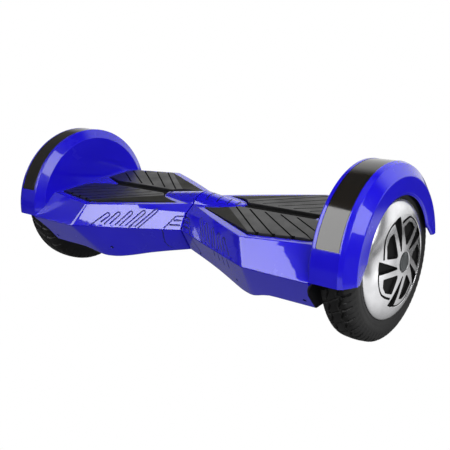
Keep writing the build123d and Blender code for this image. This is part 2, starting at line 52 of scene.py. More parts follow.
# -------------------------------------------------------------- shader graph
class Graph:
    """Short ways to add and link nodes in one shader tree."""

    def __init__(self, tree):
        self.tree = tree

    def fill(self, node, inputs):
        """Set or link inputs, keyed by name or index. A tuple is an RGB colour."""
        for key, value in inputs.items():
            if isinstance(value, bpy.types.NodeSocket):
                self.tree.links.new(value, node.inputs[key])
            elif isinstance(value, tuple):
                node.inputs[key].default_value = (*value, 1.0)
            else:
                node.inputs[key].default_value = value

    def node(self, kind, inputs=None, **settings):
        node = self.tree.nodes.new("ShaderNode" + kind)
        for key, value in settings.items():
            setattr(node, key, value)
        self.fill(node, inputs or {})
        return node

    def object_place(self):
        return self.node("TexCoord").outputs["Object"]

    def noise(self, place, scale, detail=3.0, roughness=0.5, distortion=0.0):
        return self.node("TexNoise", {"Scale": scale, "Detail": detail, "Roughness": roughness,
                                      "Distortion": distortion, "Vector": place}).outputs["Fac"]

    def ramp(self, value, *stops):
        """Two-stop colour ramp. stops: (position, colour)"""
        ramp = self.node("ValToRGB", {"Fac": value})
        for element, (position, colour) in zip(ramp.color_ramp.elements, stops):
            element.position = position
            element.color = (*colour, 1.0)
        return ramp.outputs["Color"]

    def remap(self, value, source, to, **settings):
        return self.node("MapRange", {
            "From Min": source[0], "From Max": source[1], "To Min": to[0], "To Max": to[1],
            "Value": value}, **settings).outputs["Result"]

    def step(self, value, start, end):
        """0 at start, 1 at end, smooth between; start may be the larger."""
        to = (0.0, 1.0) if start < end else (1.0, 0.0)
        return self.remap(value, source=(min(start, end), max(start, end)), to=to,
                          interpolation_type="SMOOTHSTEP")

    def math(self, operation, *values):
        return self.node("Math", dict(enumerate(values)), operation=operation).outputs[0]

    def plus(self, a, b):
        return self.math("ADD", a, b)

    def times(self, a, b):
        return self.math("MULTIPLY", a, b)

    def tint(self, amount, colour, other):
        mix = self.node("Mix", data_type="RGBA")
        self.fill(mix, {"Factor": amount, "A": colour, "B": other})
        return mix.outputs["Result"]

    def ray_switch(self, is_ray, value, ray_value):
        """ray_value for one kind of ray, value for all others."""
        return self.node("Mix", {0: is_ray, 2: value, 3: ray_value},
                         data_type="FLOAT").outputs[0]

    def edge_wear(self, source):
        """0 to 1 as the pointiness of the mesh crosses the source range."""
        pointiness = self.node("NewGeometry").outputs["Pointiness"]
        return self.remap(pointiness, source=source, to=(0.0, 1.0))

    def relief(self, bsdf, *layers, socket="Normal"):
        """Chain of bumps. layers: (height, strength, distance in metres)"""
        normal = None
        for height, strength, distance in layers:
            bump = self.node("Bump", {"Strength": strength, "Distance": distance,
                                      "Height": height})
            if normal is not None:
                self.fill(bump, {"Normal": normal})
            normal = bump.outputs["Normal"]
        self.fill(bsdf, {socket: normal})

    def wheel_plane(self, place):
        """Y and Z measured from the axle."""
        axes = self.node("SeparateXYZ", {0: place}).outputs
        return axes["Y"], self.math("SUBTRACT", axes["Z"], AXLE_Z * MM)


# ----------------------------------------------------------------- materials
MID = (0.3, 0.7)  # the part of a noise's range that carries most of its variation


def new_material(name):
    material = bpy.data.materials.new(name)
    material.use_nodes = True
    tree = material.node_tree
    return material, Graph(tree), tree.nodes["Principled BSDF"]


def tone(colour, gain, lift=0.0):
    return tuple(min(1.0, c * gain + lift) for c in colour)


def blue_plastic():
    material, graph, bsdf = new_material("blue_gloss_shell")
    place = graph.object_place()
    colour = graph.ramp(graph.noise(place, scale=9.0, detail=2.0),
                        (0.3, (0.0075, 0.0030, 0.52)), (0.7, (0.0100, 0.0040, 0.60)))
    fleck = graph.noise(place, scale=2600.0, detail=1.0)
    colour = graph.tint(graph.remap(fleck, source=(0.60, 0.72), to=(0.0, 0.10)),
                        colour, (0.020, 0.012, 0.72))
    wear = graph.edge_wear(source=(0.62, 0.78))
    scuff = graph.noise(place, scale=420.0, detail=4.0, roughness=0.6)
    wear = graph.times(wear, graph.remap(scuff, source=(0.45, 0.7), to=(0.0, 0.35)))
    smudge = graph.noise(place, scale=26.0, detail=5.0, roughness=0.62, distortion=0.4)
    graph.fill(bsdf, {
        "Base Color": graph.tint(wear, colour, (0.045, 0.035, 0.68)),
        "Roughness": graph.remap(smudge, source=(0.35, 0.70), to=(0.16, 0.30)),
        "Specular IOR Level": 0.12,
        "Coat Weight": 1.0,
        "Coat Roughness": graph.remap(smudge, source=(0.35, 0.75), to=(0.018, 0.055)),
        "IOR": 1.5})
    peel = graph.noise(place, scale=210.0, detail=1.0, roughness=0.4)
    graph.relief(bsdf, (peel, 0.035, 0.0006))
    graph.relief(bsdf, (peel, 0.02, 0.0006), socket="Coat Normal")
    return material


def rubber(name, base, roughness, grain, depth, specular):
    material, graph, bsdf = new_material(name)
    place = graph.object_place()
    mottle = graph.noise(place, scale=30.0, detail=4.0, roughness=0.6)
    colour = graph.ramp(mottle, (0.3, tone(base, 0.80)), (0.72, tone(base, 1.25, 0.004)))
    dust = graph.noise(place, scale=900.0, detail=5.0, roughness=0.7)
    colour = graph.tint(graph.remap(dust, source=(0.55, 0.75), to=(0.0, 0.16)),
                        colour, tone(base, 2.0, 0.004))
    wear = graph.times(graph.edge_wear(source=(0.55, 0.68)), 0.35)
    graph.fill(bsdf, {
        "Base Color": graph.tint(wear, colour, tone(base, 2.4, 0.010)),
        "Roughness": graph.remap(mottle, source=MID, to=(roughness - 0.06, roughness + 0.10)),
        "Specular IOR Level": specular})
    cells = graph.node("TexVoronoi", {"Scale": grain, "Vector": place}, feature="SMOOTH_F1")
    fine = graph.noise(place, scale=grain * 2.2, roughness=0.6)
    graph.relief(bsdf, (cells.outputs["Distance"], 0.30, depth), (fine, 0.20, depth))
    return material


def metal_base(name, base, metallic):
    material, graph, bsdf = new_material(name)
    place = graph.object_place()
    mottle = graph.noise(place, scale=40.0, detail=4.0, roughness=0.6)
    graph.fill(bsdf, {"Metallic": metallic,
                      "Base Color": graph.ramp(mottle, (0.3, tone(base, 0.86)), (0.7, base))})
    return material, graph, bsdf, place


def turned_alloy(name, base, metallic, roughness, anisotropy, strength):
    """Polished metal with fine turning marks round the axle."""
    material, graph, bsdf, place = metal_base(name, base, metallic)
    y, z = graph.wheel_plane(place)
    flat = graph.node("CombineXYZ", {"X": y, "Y": z}).outputs[0]
    radius = graph.node("VectorMath", {0: flat}, operation="LENGTH").outputs["Value"]
    marks = graph.node("TexNoise", {"Scale": 2600.0, "Detail": 3.0, "W": radius},
                       noise_dimensions="1D").outputs["Fac"]
    smudge = graph.noise(place, scale=60.0, detail=4.0, roughness=0.6)
    graph.fill(bsdf, {
        "Roughness": graph.remap(smudge, source=MID, to=(roughness * 0.75, roughness * 1.35)),
        "Anisotropic": anisotropy})
    graph.relief(bsdf, (marks, strength, 0.00004))
    return material


def metal(name, base, roughness, strength):
    material, graph, bsdf, place = metal_base(name, base, 1.0)
    grain = graph.noise(place, scale=700.0, detail=4.0, roughness=0.65)
    graph.fill(bsdf, {
        "Roughness": graph.remap(grain, source=MID, to=(roughness * 0.8, roughness * 1.3))})
    graph.relief(bsdf, (grain, strength, 0.00015))
    return material


def plastic(name, base, roughness, strength, coat=0.0, grain=900.0, depth=0.0001, specular=0.5):
    material, graph, bsdf = new_material(name)
    place = graph.object_place()
    mottle = graph.noise(place, scale=35.0, detail=4.0, roughness=0.6)
    graph.fill(bsdf, {
        "Base Color": graph.ramp(mottle, (0.3, tone(base, 0.85)), (0.7, tone(base, 1.12))),
        "Roughness": graph.remap(mottle, source=MID, to=(roughness * 0.85, roughness * 1.2)),
        "Specular IOR Level": specular,
        "Coat Weight": coat,
        "Coat Roughness": 0.03})
    graph.relief(bsdf, (graph.noise(place, scale=grain, roughness=0.6), strength, depth))
    return material


def strip_lens():
    material, graph, bsdf = new_material("smoked_strip_lens")
    place = graph.object_place()
    mottle = graph.noise(place, scale=22.0)
    colour = graph.ramp(mottle, (0.3, (0.006, 0.005, 0.004)), (0.7, (0.011, 0.009, 0.007)))
    # faint rows of the diodes behind the smoked lens, 30 to a full turn
    y, z = graph.wheel_plane(place)
    rows = graph.math("COSINE", graph.times(graph.math("ARCTAN2", z, y), 30.0))
    glow = graph.remap(rows, source=(0.6, 1.0), to=(0.0, 0.25))
    graph.fill(bsdf, {
        "Base Color": graph.tint(glow, colour, (0.016, 0.012, 0.006)),
        "Roughness": graph.remap(mottle, source=MID, to=(0.05, 0.11)),
        "Coat Weight": 0.35,
        "Coat Roughness": 0.02})
    graph.relief(bsdf, (graph.noise(place, scale=160.0, detail=1.0), 0.03, 0.0005))
    return material


def board(name, base):
    material, graph, bsdf = new_material(name)
    cells = graph.node("TexVoronoi", {"Scale": 260.0, "Vector": graph.object_place()},
                       distance="MANHATTAN").outputs["Distance"]
    graph.fill(bsdf, {
        "Base Color": graph.ramp(cells, (0.15, tone(base, 1.8, 0.02)), (0.28, base)),
        "Roughness": 0.35})
    graph.relief(bsdf, (cells, 0.2, 0.0001))
    return material


BLUE = blue_plastic()
PAD = rubber("pad_rubber_grained", (0.0060, 0.0060, 0.0062),
             roughness=0.34, grain=1400.0, depth=0.00016, specular=0.36)
# near-black, barely glossy rubber for the pad's base, channel, grooves and notches: painted shade
# in the channels of the same pad rubber
CHANNEL_PAINTED_SHADE = rubber("pad_channel_painted_shade", (0.0022, 0.0022, 0.0022),
                 roughness=0.6, grain=1400.0, depth=0.00016, specular=0.06)
WEDGE = rubber("pad_ramp_matt", (0.0115, 0.0110, 0.0075),
               roughness=0.55, grain=1400.0, depth=0.00016, specular=0.16)
TYRE = rubber("tyre_rubber_moulded", (0.0035, 0.0035, 0.0038),
              roughness=0.46, grain=1100.0, depth=0.00020, specular=0.30)
# seal rubber, also given to the cut end faces of the lower shell as painted shade
SEAL_AND_PAINTED_SHADE = rubber("seal_rubber_matt_and_painted_shade", (0.010, 0.010, 0.012),
              roughness=0.6, grain=1300.0, depth=0.00012, specular=0.3)
CABLE = rubber("cable_sheath_matt", (0.018, 0.018, 0.018),
               roughness=0.5, grain=1300.0, depth=0.0001, specular=0.4)
STRIP = strip_lens()
RIM = turned_alloy("rim_polished_turned", (0.80, 0.80, 0.82),
                   metallic=0.86, roughness=0.20, anisotropy=0.2, strength=0.06)
POCKET = plastic("rim_pocket_black", (0.0035, 0.0035, 0.0038),
                 roughness=0.55, strength=0.15, grain=700.0, specular=0.12)
CAP = plastic("cap_dark_grey", (0.045, 0.050, 0.053), roughness=0.38, strength=0.15)
CAST = metal("cast_alloy", (0.62, 0.62, 0.63), roughness=0.45, strength=0.4)
STEEL = metal("plated_steel", (0.62, 0.62, 0.61), roughness=0.28, strength=0.15)
BLACK_STEEL = metal("black_oxide_steel", (0.06, 0.06, 0.06), roughness=0.4, strength=0.15)
BRONZE = metal("sintered_bronze", (0.55, 0.36, 0.15), roughness=0.4, strength=0.3)
COPPER = metal("enamelled_copper", (0.62, 0.25, 0.09), roughness=0.3, strength=0.2)
MAGNET = metal("nickel_magnet", (0.50, 0.50, 0.50), roughness=0.25, strength=0.1)
BLACK = plastic("black_satin_plastic", (0.018, 0.018, 0.019), roughness=0.38, strength=0.2)
LENS = plastic("indicator_lens_tint", (0.005, 0.003, 0.10),
               roughness=0.12, strength=0.02, coat=0.4, grain=200.0, depth=0.0002)
WRAP = plastic("battery_shrink_wrap", (0.02, 0.10, 0.36),
               roughness=0.22, strength=0.5, coat=0.5, grain=60.0, depth=0.0008)
COMPONENTS = plastic("board_components_black", (0.05, 0.05, 0.055),
                     roughness=0.35, strength=0.2, grain=500.0)
# darker blue for the walls of cut grooves, slashes and slits: painted shade in the recesses of the
# same blue shell
GROOVE_PAINTED_SHADE = plastic("shell_groove_painted_shade", (0.010, 0.008, 0.27), roughness=0.5, strength=0.1)
BOARD = board("solder_mask_green", (0.01, 0.10, 0.035))
BY_SLOT = {
    "blue_shell": BLUE, "pad_rubber": PAD, "smoked_strip": STRIP, "circuit_board": BOARD,
    "indicator": LENS, "cast_alloy": CAST, "steel": STEEL, "black_steel": BLACK_STEEL,
    "cable_sheath": CABLE, "winding": COPPER, "magnet": MAGNET, "polished_alloy": RIM,
    "tyre_rubber": TYRE, "cap_plastic": CAP, "bronze": BRONZE, "seal_rubber": SEAL_AND_PAINTED_SHADE,
    "battery_wrap": WRAP, "components": COMPONENTS, "black_plastic": BLACK,
}
for subpart in frame["record"]["subparts"]:
    node = NODES[subpart["node"]]
    material = BY_SLOT[subpart["material_slot"]]
    if len(node.material_slots) == 0:
        node.data.materials.append(material)
    for slot in node.material_slots:
        slot.link = "OBJECT"
        slot.material = material


# -------------------------------------------------------------- mesh helpers
def add_object(name, data):
    obj = bpy.data.objects.new(name, data)
    bpy.context.scene.collection.objects.link(obj)
    return obj


def make(name, verts, faces, material, clean=True):
    """Object from millimetre points, welded and with outward normals when clean."""
    mesh = bpy.data.meshes.new(name)
    mesh.from_pydata([(x * MM, y * MM, z * MM) for x, y, z in verts], [], faces)
    mesh.materials.append(material)
    if clean:
        bm = bmesh.new()
        bm.from_mesh(mesh)
        bmesh.ops.remove_doubles(bm, verts=bm.verts, dist=2e-6)
        bmesh.ops.dissolve_degenerate(bm, edges=bm.edges, dist=1e-6)
        loose = [e for e in bm.edges if not e.link_faces]
        bmesh.ops.delete(bm, geom=loose, context="EDGES")
        bmesh.ops.recalc_face_normals(bm, faces=bm.faces)
        bm.to_mesh(mesh)
        bm.free()
    mesh.update()
    return add_object(name, mesh)


def delete_loose(bm):
    loose = [v for v in bm.verts if not v.link_faces]
    bmesh.ops.delete(bm, geom=loose, context="VERTS")


def combine(target, other, operation, keep=False):
    """Apply an exact boolean to target, then remove the other object unless kept."""
    modifier = target.modifiers.new("boolean", "BOOLEAN")
    modifier.operation = operation
    modifier.solver = "EXACT"
    modifier.object = other
    modifier.material_mode = "TRANSFER"
    bpy.context.view_layer.update()
    graph = bpy.context.evaluated_depsgraph_get()
    graph.update()
    mesh = bpy.data.meshes.new_from_object(target.evaluated_get(graph),
                                           preserve_all_data_layers=True, depsgraph=graph)
    target.modifiers.clear()
    target.data = mesh
    if not keep:
        bpy.data.objects.remove(other)


def cut(target, cutter, keep=False):
    combine(target, cutter, "DIFFERENCE", keep)


def fuse(target, addition):
    combine(target, addition, "UNION")


def tidy(obj, angle):
    bm = bmesh.new()
    bm.from_mesh(obj.data)
    bmesh.ops.remove_doubles(bm, verts=bm.verts, dist=2e-6)
    bmesh.ops.dissolve_degenerate(bm, edges=bm.edges, dist=1e-6)
    delete_loose(bm)
    bm.to_mesh(obj.data)
    bm.free()
    obj.data.shade_smooth()
    obj.data.set_sharp_from_angle(angle=math.radians(angle))


def mirror_mesh(mesh, axis):
    scale = [1, 1, 1, 1]
    scale["xyz".index(axis)] = -1
    mesh.transform(Matrix.Diagonal(scale))
    mesh.flip_normals()


def mirror_copy(obj, name, axis):
    mesh = obj.data.copy()
    mirror_mesh(mesh, axis)
    return add_object(name, mesh)


def rear_too(cutters):
    """The cutters and their mirror images on the rear side."""
    return cutters + [mirror_copy(cutter, "rear", "y") for cutter in cutters]


def skin(rows, closed=False, flip=False):
    """Points and faces through loops of equal count, capped unless closed on itself."""
    m, n = len(rows[0]), len(rows)
    faces = []
    for k in range(n if closed else n - 1):
        here, there = k * m, (k + 1) % n * m
        for i in range(m):
            j = (i + 1) % m
            faces.append((here + i, here + j, there + j, there + i))
    if not closed:
        first, last = range(m), range((n - 1) * m, n * m)
        faces.append(tuple(first if flip else reversed(first)))
        faces.append(tuple(reversed(last) if flip else last))
    return [point for row in rows for point in row], faces


def lathe(name, profile, segments, material, start=0.0, end=360.0, shift=0.0):
    """Closed (x, r) profile turned about the wheel axle; degrees from +Y towards +Z."""
    full = end - start == 360.0
    rows = []
    for i in range(segments if full else segments + 1):
        a = math.radians(start + (end - start) * i / segments + shift)
        rows.append([(x, r * math.cos(a), AXLE_Z + r * math.sin(a)) for x, r in profile])
    return make(name, *skin(rows, closed=full, flip=True), material)


def stack(name, levels, material, axis="z"):
    """Solid through outlines along an axis. levels: (height or height per point, outline)"""
    slot = "xyz".index(axis)
    rows = []
    for height, outline in levels:
        heights = height if isinstance(height, list) else [height] * len(outline)
        rows.append([(*p[:slot], h, *p[slot:]) for p, h in zip(outline, heights)])
    return make(name, *skin(rows), material)


def prism(outline, z0, z1, material):
    return stack("prism", [(z0, outline), (z1, outline)], material)


def brick(z0, z1):
    """Block wider than a whole half, between two heights."""
    return prism([(-20, -160), (340, -160), (340, 160), (-20, 160)], z0, z1, BLUE)


def circle(x, y, radius, count, turn=0.0):
    """Outline whose first point is turned by a share of one step."""
    angles = [(i + turn) * math.pi / (count // 2) for i in range(count)]
    return [(x + radius * math.cos(a), y + radius * math.sin(a)) for a in angles]


def above_plane(a, b, c, material):
    """Large block on the upper side of the plane through three points."""
    size = 500.0
    a, b, c = Vector(a), Vector(b), Vector(c)
    normal = (b - a).cross(c - a)
    if normal.z < 0:
        normal = -normal
    normal = normal.normalized()
    along = normal.orthogonal().normalized()
    across = normal.cross(along)
    verts = [tuple(a + normal * rise + along * i * size + across * j * size)
             for rise in (0.0, size) for i, j in ((-1, -1), (1, -1), (1, 1), (-1, 1))]
    faces = [(3, 2, 1, 0), (4, 5, 6, 7), (0, 1, 5, 4), (1, 2, 6, 5), (2, 3, 7, 6), (3, 0, 4, 7)]
    return make("half", verts, faces, material)


def tube(points, radius, material, sides=8):
    """Closed round bar along a path, used as a groove cutter."""
    path = [Vector(p) for p in points]
    last = len(path) - 1
    up = (path[1] - path[0]).normalized().orthogonal().normalized()
    rows = []
    for i, p in enumerate(path):
        if i == 0:
            along = (path[1] - path[0]).normalized()
        elif i == last:
            along = (path[-1] - path[-2]).normalized()
        else:
            along = ((path[i + 1] - p).normalized() + (p - path[i - 1]).normalized()).normalized()
        up = (up - along * up.dot(along)).normalized()
        side = along.cross(up)
        angles = [2 * math.pi * k / sides for k in range(sides)]
        rows.append([tuple(p + up * (radius * math.cos(a)) + side * (radius * math.sin(a)))
                     for a in angles])
    return make("tube", *skin(rows), material)


def join(objects, name, material):
    verts, faces = [], []
    for obj in objects:
        base = len(verts)
        verts += [tuple(v.co / MM) for v in obj.data.vertices]
        faces += [tuple(base + v for v in p.vertices) for p in obj.data.polygons]
        bpy.data.objects.remove(obj)
    return make(name, verts, faces, material, clean=False)


# ----------------------------------------------------------- outline helpers
def curve(start, corner, end, s):
    """Point at share s of a quadratic curve bent towards the corner."""
    return (1 - s) ** 2 * start + 2 * s * (1 - s) * corner + s * s * end


def corner_shape(before, point, after):
    """Unit vectors back and ahead, the shorter edge's length and the angle between edges."""
    back, ahead = before - point, after - point
    back_length, ahead_length = np.linalg.norm(back), np.linalg.norm(ahead)
    cosine = np.clip(back @ ahead / (back_length * ahead_length), -1, 1)
    return (back / back_length, ahead / ahead_length, min(back_length, ahead_length),
            math.acos(cosine))


def neighbours(points, i):
    return [np.array(points[(i + k) % len(points)], float) for k in (-1, 0, 1)]


def rounded(points, radii, n):
    """Closed outline with its corners rounded in n steps; radius 0 stays sharp."""
    out = []
    for i, radius in enumerate(radii):
        before, p, after = neighbours(points, i)
        if radius <= 0:
            out.append(tuple(p))
            continue
        back, ahead, shorter, angle = corner_shape(before, p, after)
        t = min(radius / math.tan(angle / 2), 0.45 * shorter)
        out += [tuple(curve(p + back * t, p, p + ahead * t, k / n)) for k in range(n + 1)]
    return out


def winding(points):
    """1 for a counter-clockwise outline, -1 for a clockwise one."""
    area = sum(a[0] * b[1] - b[0] * a[1] for a, b in zip(points, points[1:] + points[:1]))
    return 1.0 if area > 0 else -1.0


def grown(points, d):
    """Outline with every edge moved out by d; sharp corners travel at most three times d."""
    sign = winding(points)
    lines = []
    for (ax, ay), (bx, by) in zip(points, points[1:] + points[:1]):
        length = math.hypot(bx - ax, by - ay)
        nx, ny = sign * (by - ay) / length, -sign * (bx - ax) / length
        lines.append((nx, ny, nx * ax + ny * ay + d))
    out = []
    for i, (px, py) in enumerate(points):
        (a, b, c), (e, f, g) = lines[i - 1], lines[i]
        det = a * f - b * e
        if abs(det) < 1e-6:
            x, y = px + a * d, py + b * d
        else:
            x, y = (c * f - b * g) / det, (a * g - c * e) / det
        far = math.hypot(x - px, y - py)
        limit = 3 * abs(d)
        if far > limit:
            x, y = px + (x - px) * limit / far, py + (y - py) * limit / far
        out.append((x, y))
    return out


def level(points, radii, d, n=3):
    """Outline moved out by d, its corners rounded afterwards, always the same point count."""
    base = grown(points, d)
    sign = winding(base)
    out = []
    for i, radius in enumerate(radii):
        before, p, after = neighbours(base, i)
        arrive, leave = p - before, after - p
        turn = sign * (arrive[0] * leave[1] - arrive[1] * leave[0])
        radius = max(0.06, radius + (d if turn > 0 else -d))
        back, ahead, shorter, angle = corner_shape(before, p, after)
        t = radius / max(1e-3, math.tan(angle / 2)) if angle < math.pi - 0.01 else 0.05
        t = max(0.03, min(t, 0.42 * shorter))
        out += [tuple(curve(p + back * t, p, p + ahead * t, k / n)) for k in range(n + 1)]
    return out


# ------------------------------------------------------------- faceted body
# Front edges of the body. Points: joint end, knee, wheel end. Columns: x, y, z
UPPER_RAIL = np.array([(1.2, -24.0, 135.5), (142.0, -99.2, 135.5), (249.0, -78.0, 135.5)])
MIDDLE_RAIL = np.array([(1.2, -53.0, 104.5), (158.0, -117.5, 105.2), (249.0, -117.5, 105.2)])
LOWER_RAIL = np.array([(1.2, -37.0, 73.0), (139.0, -86.0, 60.0), (249.0, -86.0, 60.0)])
# The lower edge in fact follows the belly, which hangs below the flat underside: x, y, z
BELLY = [(-40.0, -29.0, 78.0), (1.2, -37.0, 71.0), (40.0, -46.0, 64.0), (69.5, -54.0, 58.3),
         (94.0, -61.0, 52.4), (118.0, -70.0, 48.4), (140.0, -77.6, 48.8), (170.0, -86.0, 60.0),
         (300.0, -86.0, 60.0)]
BELLY_BLUR = 8.0       # half width over which the belly line is averaged
CREASE_END = 0.53      # station where the crease below the upper rail fades out
CREASE_HEIGHT = 5.4
# Half section: top centre, upper rail, crease, middle rail, lower rail, bottom centre
SECTION_RADII = [0, 2.0, 3.0, 1.6, 6.0, 0]
SECTION_SPANS = [4, 1, 6, 5, 4]
CORNER_STEPS = 5


def rail(u, points, before, after, bow=0.0):
    """Point at station u: 0 joint end, 1 knee, 2 wheel end; the knee is blended."""
    start, knee, end = points

    def straight(t):
        if t <= 1:
            return start + (knee - start) * t + np.array([0, -bow * math.sin(math.pi * t), 0])
        return knee + (end - knee) * (t - 1)
    if 1 - before < u < 1 + after:
        s = (u - (1 - before)) / (before + after)
        return curve(straight(1 - before), knee, straight(1 + after), s)
    return straight(u)


def belly(x, column):
    xs, values = [b[0] for b in BELLY], [b[column] for b in BELLY]
    return float(np.mean([np.interp(x + BELLY_BLUR * (i - 4) / 4, xs, values)
                          for i in range(9)]))


def section_corners(u):
    """Front corners of the section: upper rail, crease, middle rail, lower edge."""
    upper = rail(u, UPPER_RAIL, 0.022, 0.035, bow=2.4)
    middle = rail(u, MIDDLE_RAIL, 0.022, 0.035)
    x = rail(u, LOWER_RAIL, 0.030, 0.045)[0]
    lower = np.array([x, belly(x, 1), belly(x, 2)])
    fade = max(0.0, 1 - u / CREASE_END)
    down = middle - upper
    outward = np.array([0.0, down[2], -down[1]])
    outward /= np.linalg.norm(outward)
    crease = upper + down * (0.14 + 0.25 * fade) + outward * (CREASE_HEIGHT * fade)
    return upper, crease, middle, lower


def fillet_chain(points):
    """Open chain with rounded corners and a set number of spans on each straight."""
    out = []
    previous = points[0]
    for i in range(1, len(points) - 1):
        p, radius = points[i], SECTION_RADII[i]
        back, ahead, shorter, angle = corner_shape(points[i - 1], p, points[i + 1])
        flat = angle >= math.pi - 0.02
        t = radius * 0.02 if flat else radius / max(1e-3, math.tan(angle / 2))
        t = max(0.25, min(t, 0.42 * shorter))
        start, end = p + back * t, p + ahead * t
        spans = SECTION_SPANS[i - 1]
        out += [previous + (start - previous) * (k / spans) for k in range(spans)]
        out += [curve(start, p, end, k / CORNER_STEPS) for k in range(CORNER_STEPS)]
        previous = end
    spans = SECTION_SPANS[-1]
    out += [previous + (points[-1] - previous) * (k / spans) for k in range(spans + 1)]
    return out


def section(u, shrink=0.0):
    upper, crease, middle, lower = section_corners(u)
    top = np.array([upper[0], 0.0, upper[2]])
    bottom = np.array([lower[0], 0.0, lower[2]])
    front = fillet_chain([top, upper, crease, middle, lower, bottom])
    points = front + [p * np.array([1, -1, 1]) for p in reversed(front)][1:-1]
    if shrink:
        centre = np.mean(points, axis=0)
        points = [p + (centre - p) * np.array([0, 1, 1]) * shrink for p in points]
    return points


def body_outer():
    stations = [0.0, 0.004, 0.012, 0.03, 0.07] + [0.1 + 0.055 * k for k in range(8)]
    stations += [CREASE_END, 0.58, 0.64, 0.70, 0.76, 0.82, 0.88, 0.93, 0.96, 0.972, 0.978]
    stations += [0.978 + 0.057 * k / 6 for k in range(1, 7)]
    stations += [1.045, 1.06, 1.09, 1.14, 1.2, 1.3, 1.4, 1.5, 1.6, 1.7, 1.8, 1.9, 2.0]
    # the first two sections shrink slightly to round the joint end
    shrinks = [0.014, 0.003] + [0.0] * (len(stations) - 2)
    body = make("body", *skin([section(u, s) for u, s in zip(stations, shrinks)], flip=True),
                BLUE)
    bm = bmesh.new()
    bm.from_mesh(body.data)
    quads = [f for f in bm.faces if len(f.verts) == 4]
    bmesh.ops.triangulate(bm, faces=quads, quad_method="SHORT_EDGE")
    bm.to_mesh(body.data)
    bm.free()
    return body


# Front corners of the hollow inside: x, y, z
CAVITY = [(4.2, -20, 129.5), (140, -93, 129.5), (234, -74, 129.5), (4.2, -34, 120),
          (4.2, -49.5, 105), (158, -112.8, 105), (234, -112.8, 105), (4.2, -33, 76.3),
          (138, -82.4, 63.2), (234, -82.4, 63.2)]


def cavity():
    bm = bmesh.new()
    for x, y, z in CAVITY:
        for side in (y, -y):
            bm.verts.new([c * MM for c in (x, side, z)])
    bmesh.ops.convex_hull(bm, input=bm.verts)
    delete_loose(bm)
    mesh = bpy.data.meshes.new("hull")
    bm.to_mesh(mesh)
    bm.free()
    mesh.materials.append(BLUE)
    return add_object("hull", mesh)


# ---------------------------------------------------- tongue beside the joint
# Front half of the tongue seen from above, from the joint to its tip: x, y
TONGUE = [(1.26, -24.0), (15.0, -26.2), (27.0, -26.8), (40.0, -25.6), (52.0, -21.8),
          (62.0, -15.6), (69.0, -8.0), (71.5, 0.0)]
# The roof is a cylinder along X, tilted down towards the wheel
ROOF_RADIUS = 32.0
ROOF_TOP = 141.8       # height of the unscaled crown at ROOF_X
ROOF_X = 36.0
ROOF_TILT = math.radians(7.6)
ROOF_SPINE_END = 56.0  # x where the roof's centre line stops


def roof_z(x, y):
    axis_z = (ROOF_TOP - ROOF_RADIUS) - (x - ROOF_X) * math.tan(ROOF_TILT)
    return axis_z + math.sqrt(ROOF_RADIUS * ROOF_RADIUS - y * y) / math.cos(ROOF_TILT)


def tongue_front():
    """Smooth cubic through the tongue points, continued by mirroring past the tip."""
    x, y = TONGUE[-2]
    points = np.array(TONGUE + [(x, -y)])
    steps = np.diff(points[:-1], axis=0)
    t = np.concatenate([[0], np.cumsum(np.hypot(steps[:, 0], steps[:, 1]))])
    front = []
    for s in np.linspace(0, t[-1], 40):
        i = int(np.clip(np.searchsorted(t, s) - 1, 0, len(t) - 2))
        p0, p1, p2, p3 = points[max(i - 1, 0)], points[i], points[i + 1], points[i + 2]
        h = (s - t[i]) / (t[i + 1] - t[i])
        slope1, slope2 = (p2 - p0) / 2, (p3 - p1) / 2
        x, y = ((2 * h ** 3 - 3 * h ** 2 + 1) * p1 + (h ** 3 - 2 * h ** 2 + h) * slope1
                + (-2 * h ** 3 + 3 * h ** 2) * p2 + (h ** 3 - h ** 2) * slope2)
        front.append((x, min(0.0, y)))
    front[-1] = TONGUE[-1]
    return front


def tongue():
    front = tongue_front()
    outline = front + [(x, -y) for x, y in reversed(front[:-1])]
    m = len(outline)
    # share of the way in to the centre line, drop below the roof for the rounded rim
    rim = [(0.0, 1.5), (0.012, 0.85), (0.03, 0.42), (0.055, 0.14), (0.085, 0.0)]
    rim += [(0.085 + 0.915 * k / 14, 0.0) for k in range(1, 15)]
    rows = [[(x, y, 131.0) for x, y in outline]]
    for share, drop in rim:
        row = []
        for x, y in outline:
            px, py = x + (min(x, ROOF_SPINE_END) - x) * share, y + (0.0 - y) * share
            row.append((px, py, max(roof_z(px, py) - drop, 132.0)))
        rows.append(row)
    n = len(rows)
    faces = [(k * m + i, k * m + i + 1, (k + 1) * m + i + 1, (k + 1) * m + i)
             for k in range(n - 1) for i in range(m - 1)]
    # flat end at the joint and flat underside
    faces.append(tuple([k * m for k in range(n)] + [k * m + m - 1 for k in reversed(range(n - 1))]))
    faces.append(tuple(range(m)))
    return make("tongue", [p for row in rows for p in row], faces, BLUE)


# Four slanted windows in the tongue's roof: x, y of each corner
SLASHES = [[(x - 2.6, 11.5 - 0.12 * x), (x - 0.8, 11.5 - 0.12 * x),
            (x + 2.6, -16.0 + 0.1 * x), (x + 0.8, -16.0 + 0.1 * x)] for x in (14.5, 32.0, 48.5)]
SLASHES.append([(60.5, 6.0), (65.0, 3.5), (66.0, -5.5), (61.5, -8.5)])
SLASH_DEPTH = 1.2

# ------------------------------------------------------------- upper shell
# Foot pad seen from above: x, y, corner radius
PAD_TABLE = [
    (25.5, -29.8, 0.6), (146.0, -88.0, 3), (232.2, -70.5, 1.5), (232.2, -25.0, 1.5),
    (186.0, -4.0, 2), (186.0, 4.0, 2), (232.2, 25.0, 1.5), (232.2, 70.5, 1.5),
    (146.0, 88.0, 3), (25.5, 29.8, 0.6), (40.0, 27.2, 4), (53.0, 23.2, 4), (63.5, 16.7, 4),
    (70.5, 9.0, 4), (73.0, 0.0, 4), (70.5, -9.0, 4), (63.5, -16.7, 4), (53.0, -23.2, 4),
    (40.0, -27.2, 4)]
PAD_OUTLINE = [row[:2] for row in PAD_TABLE]
PAD_RADII = [row[2] for row in PAD_TABLE]
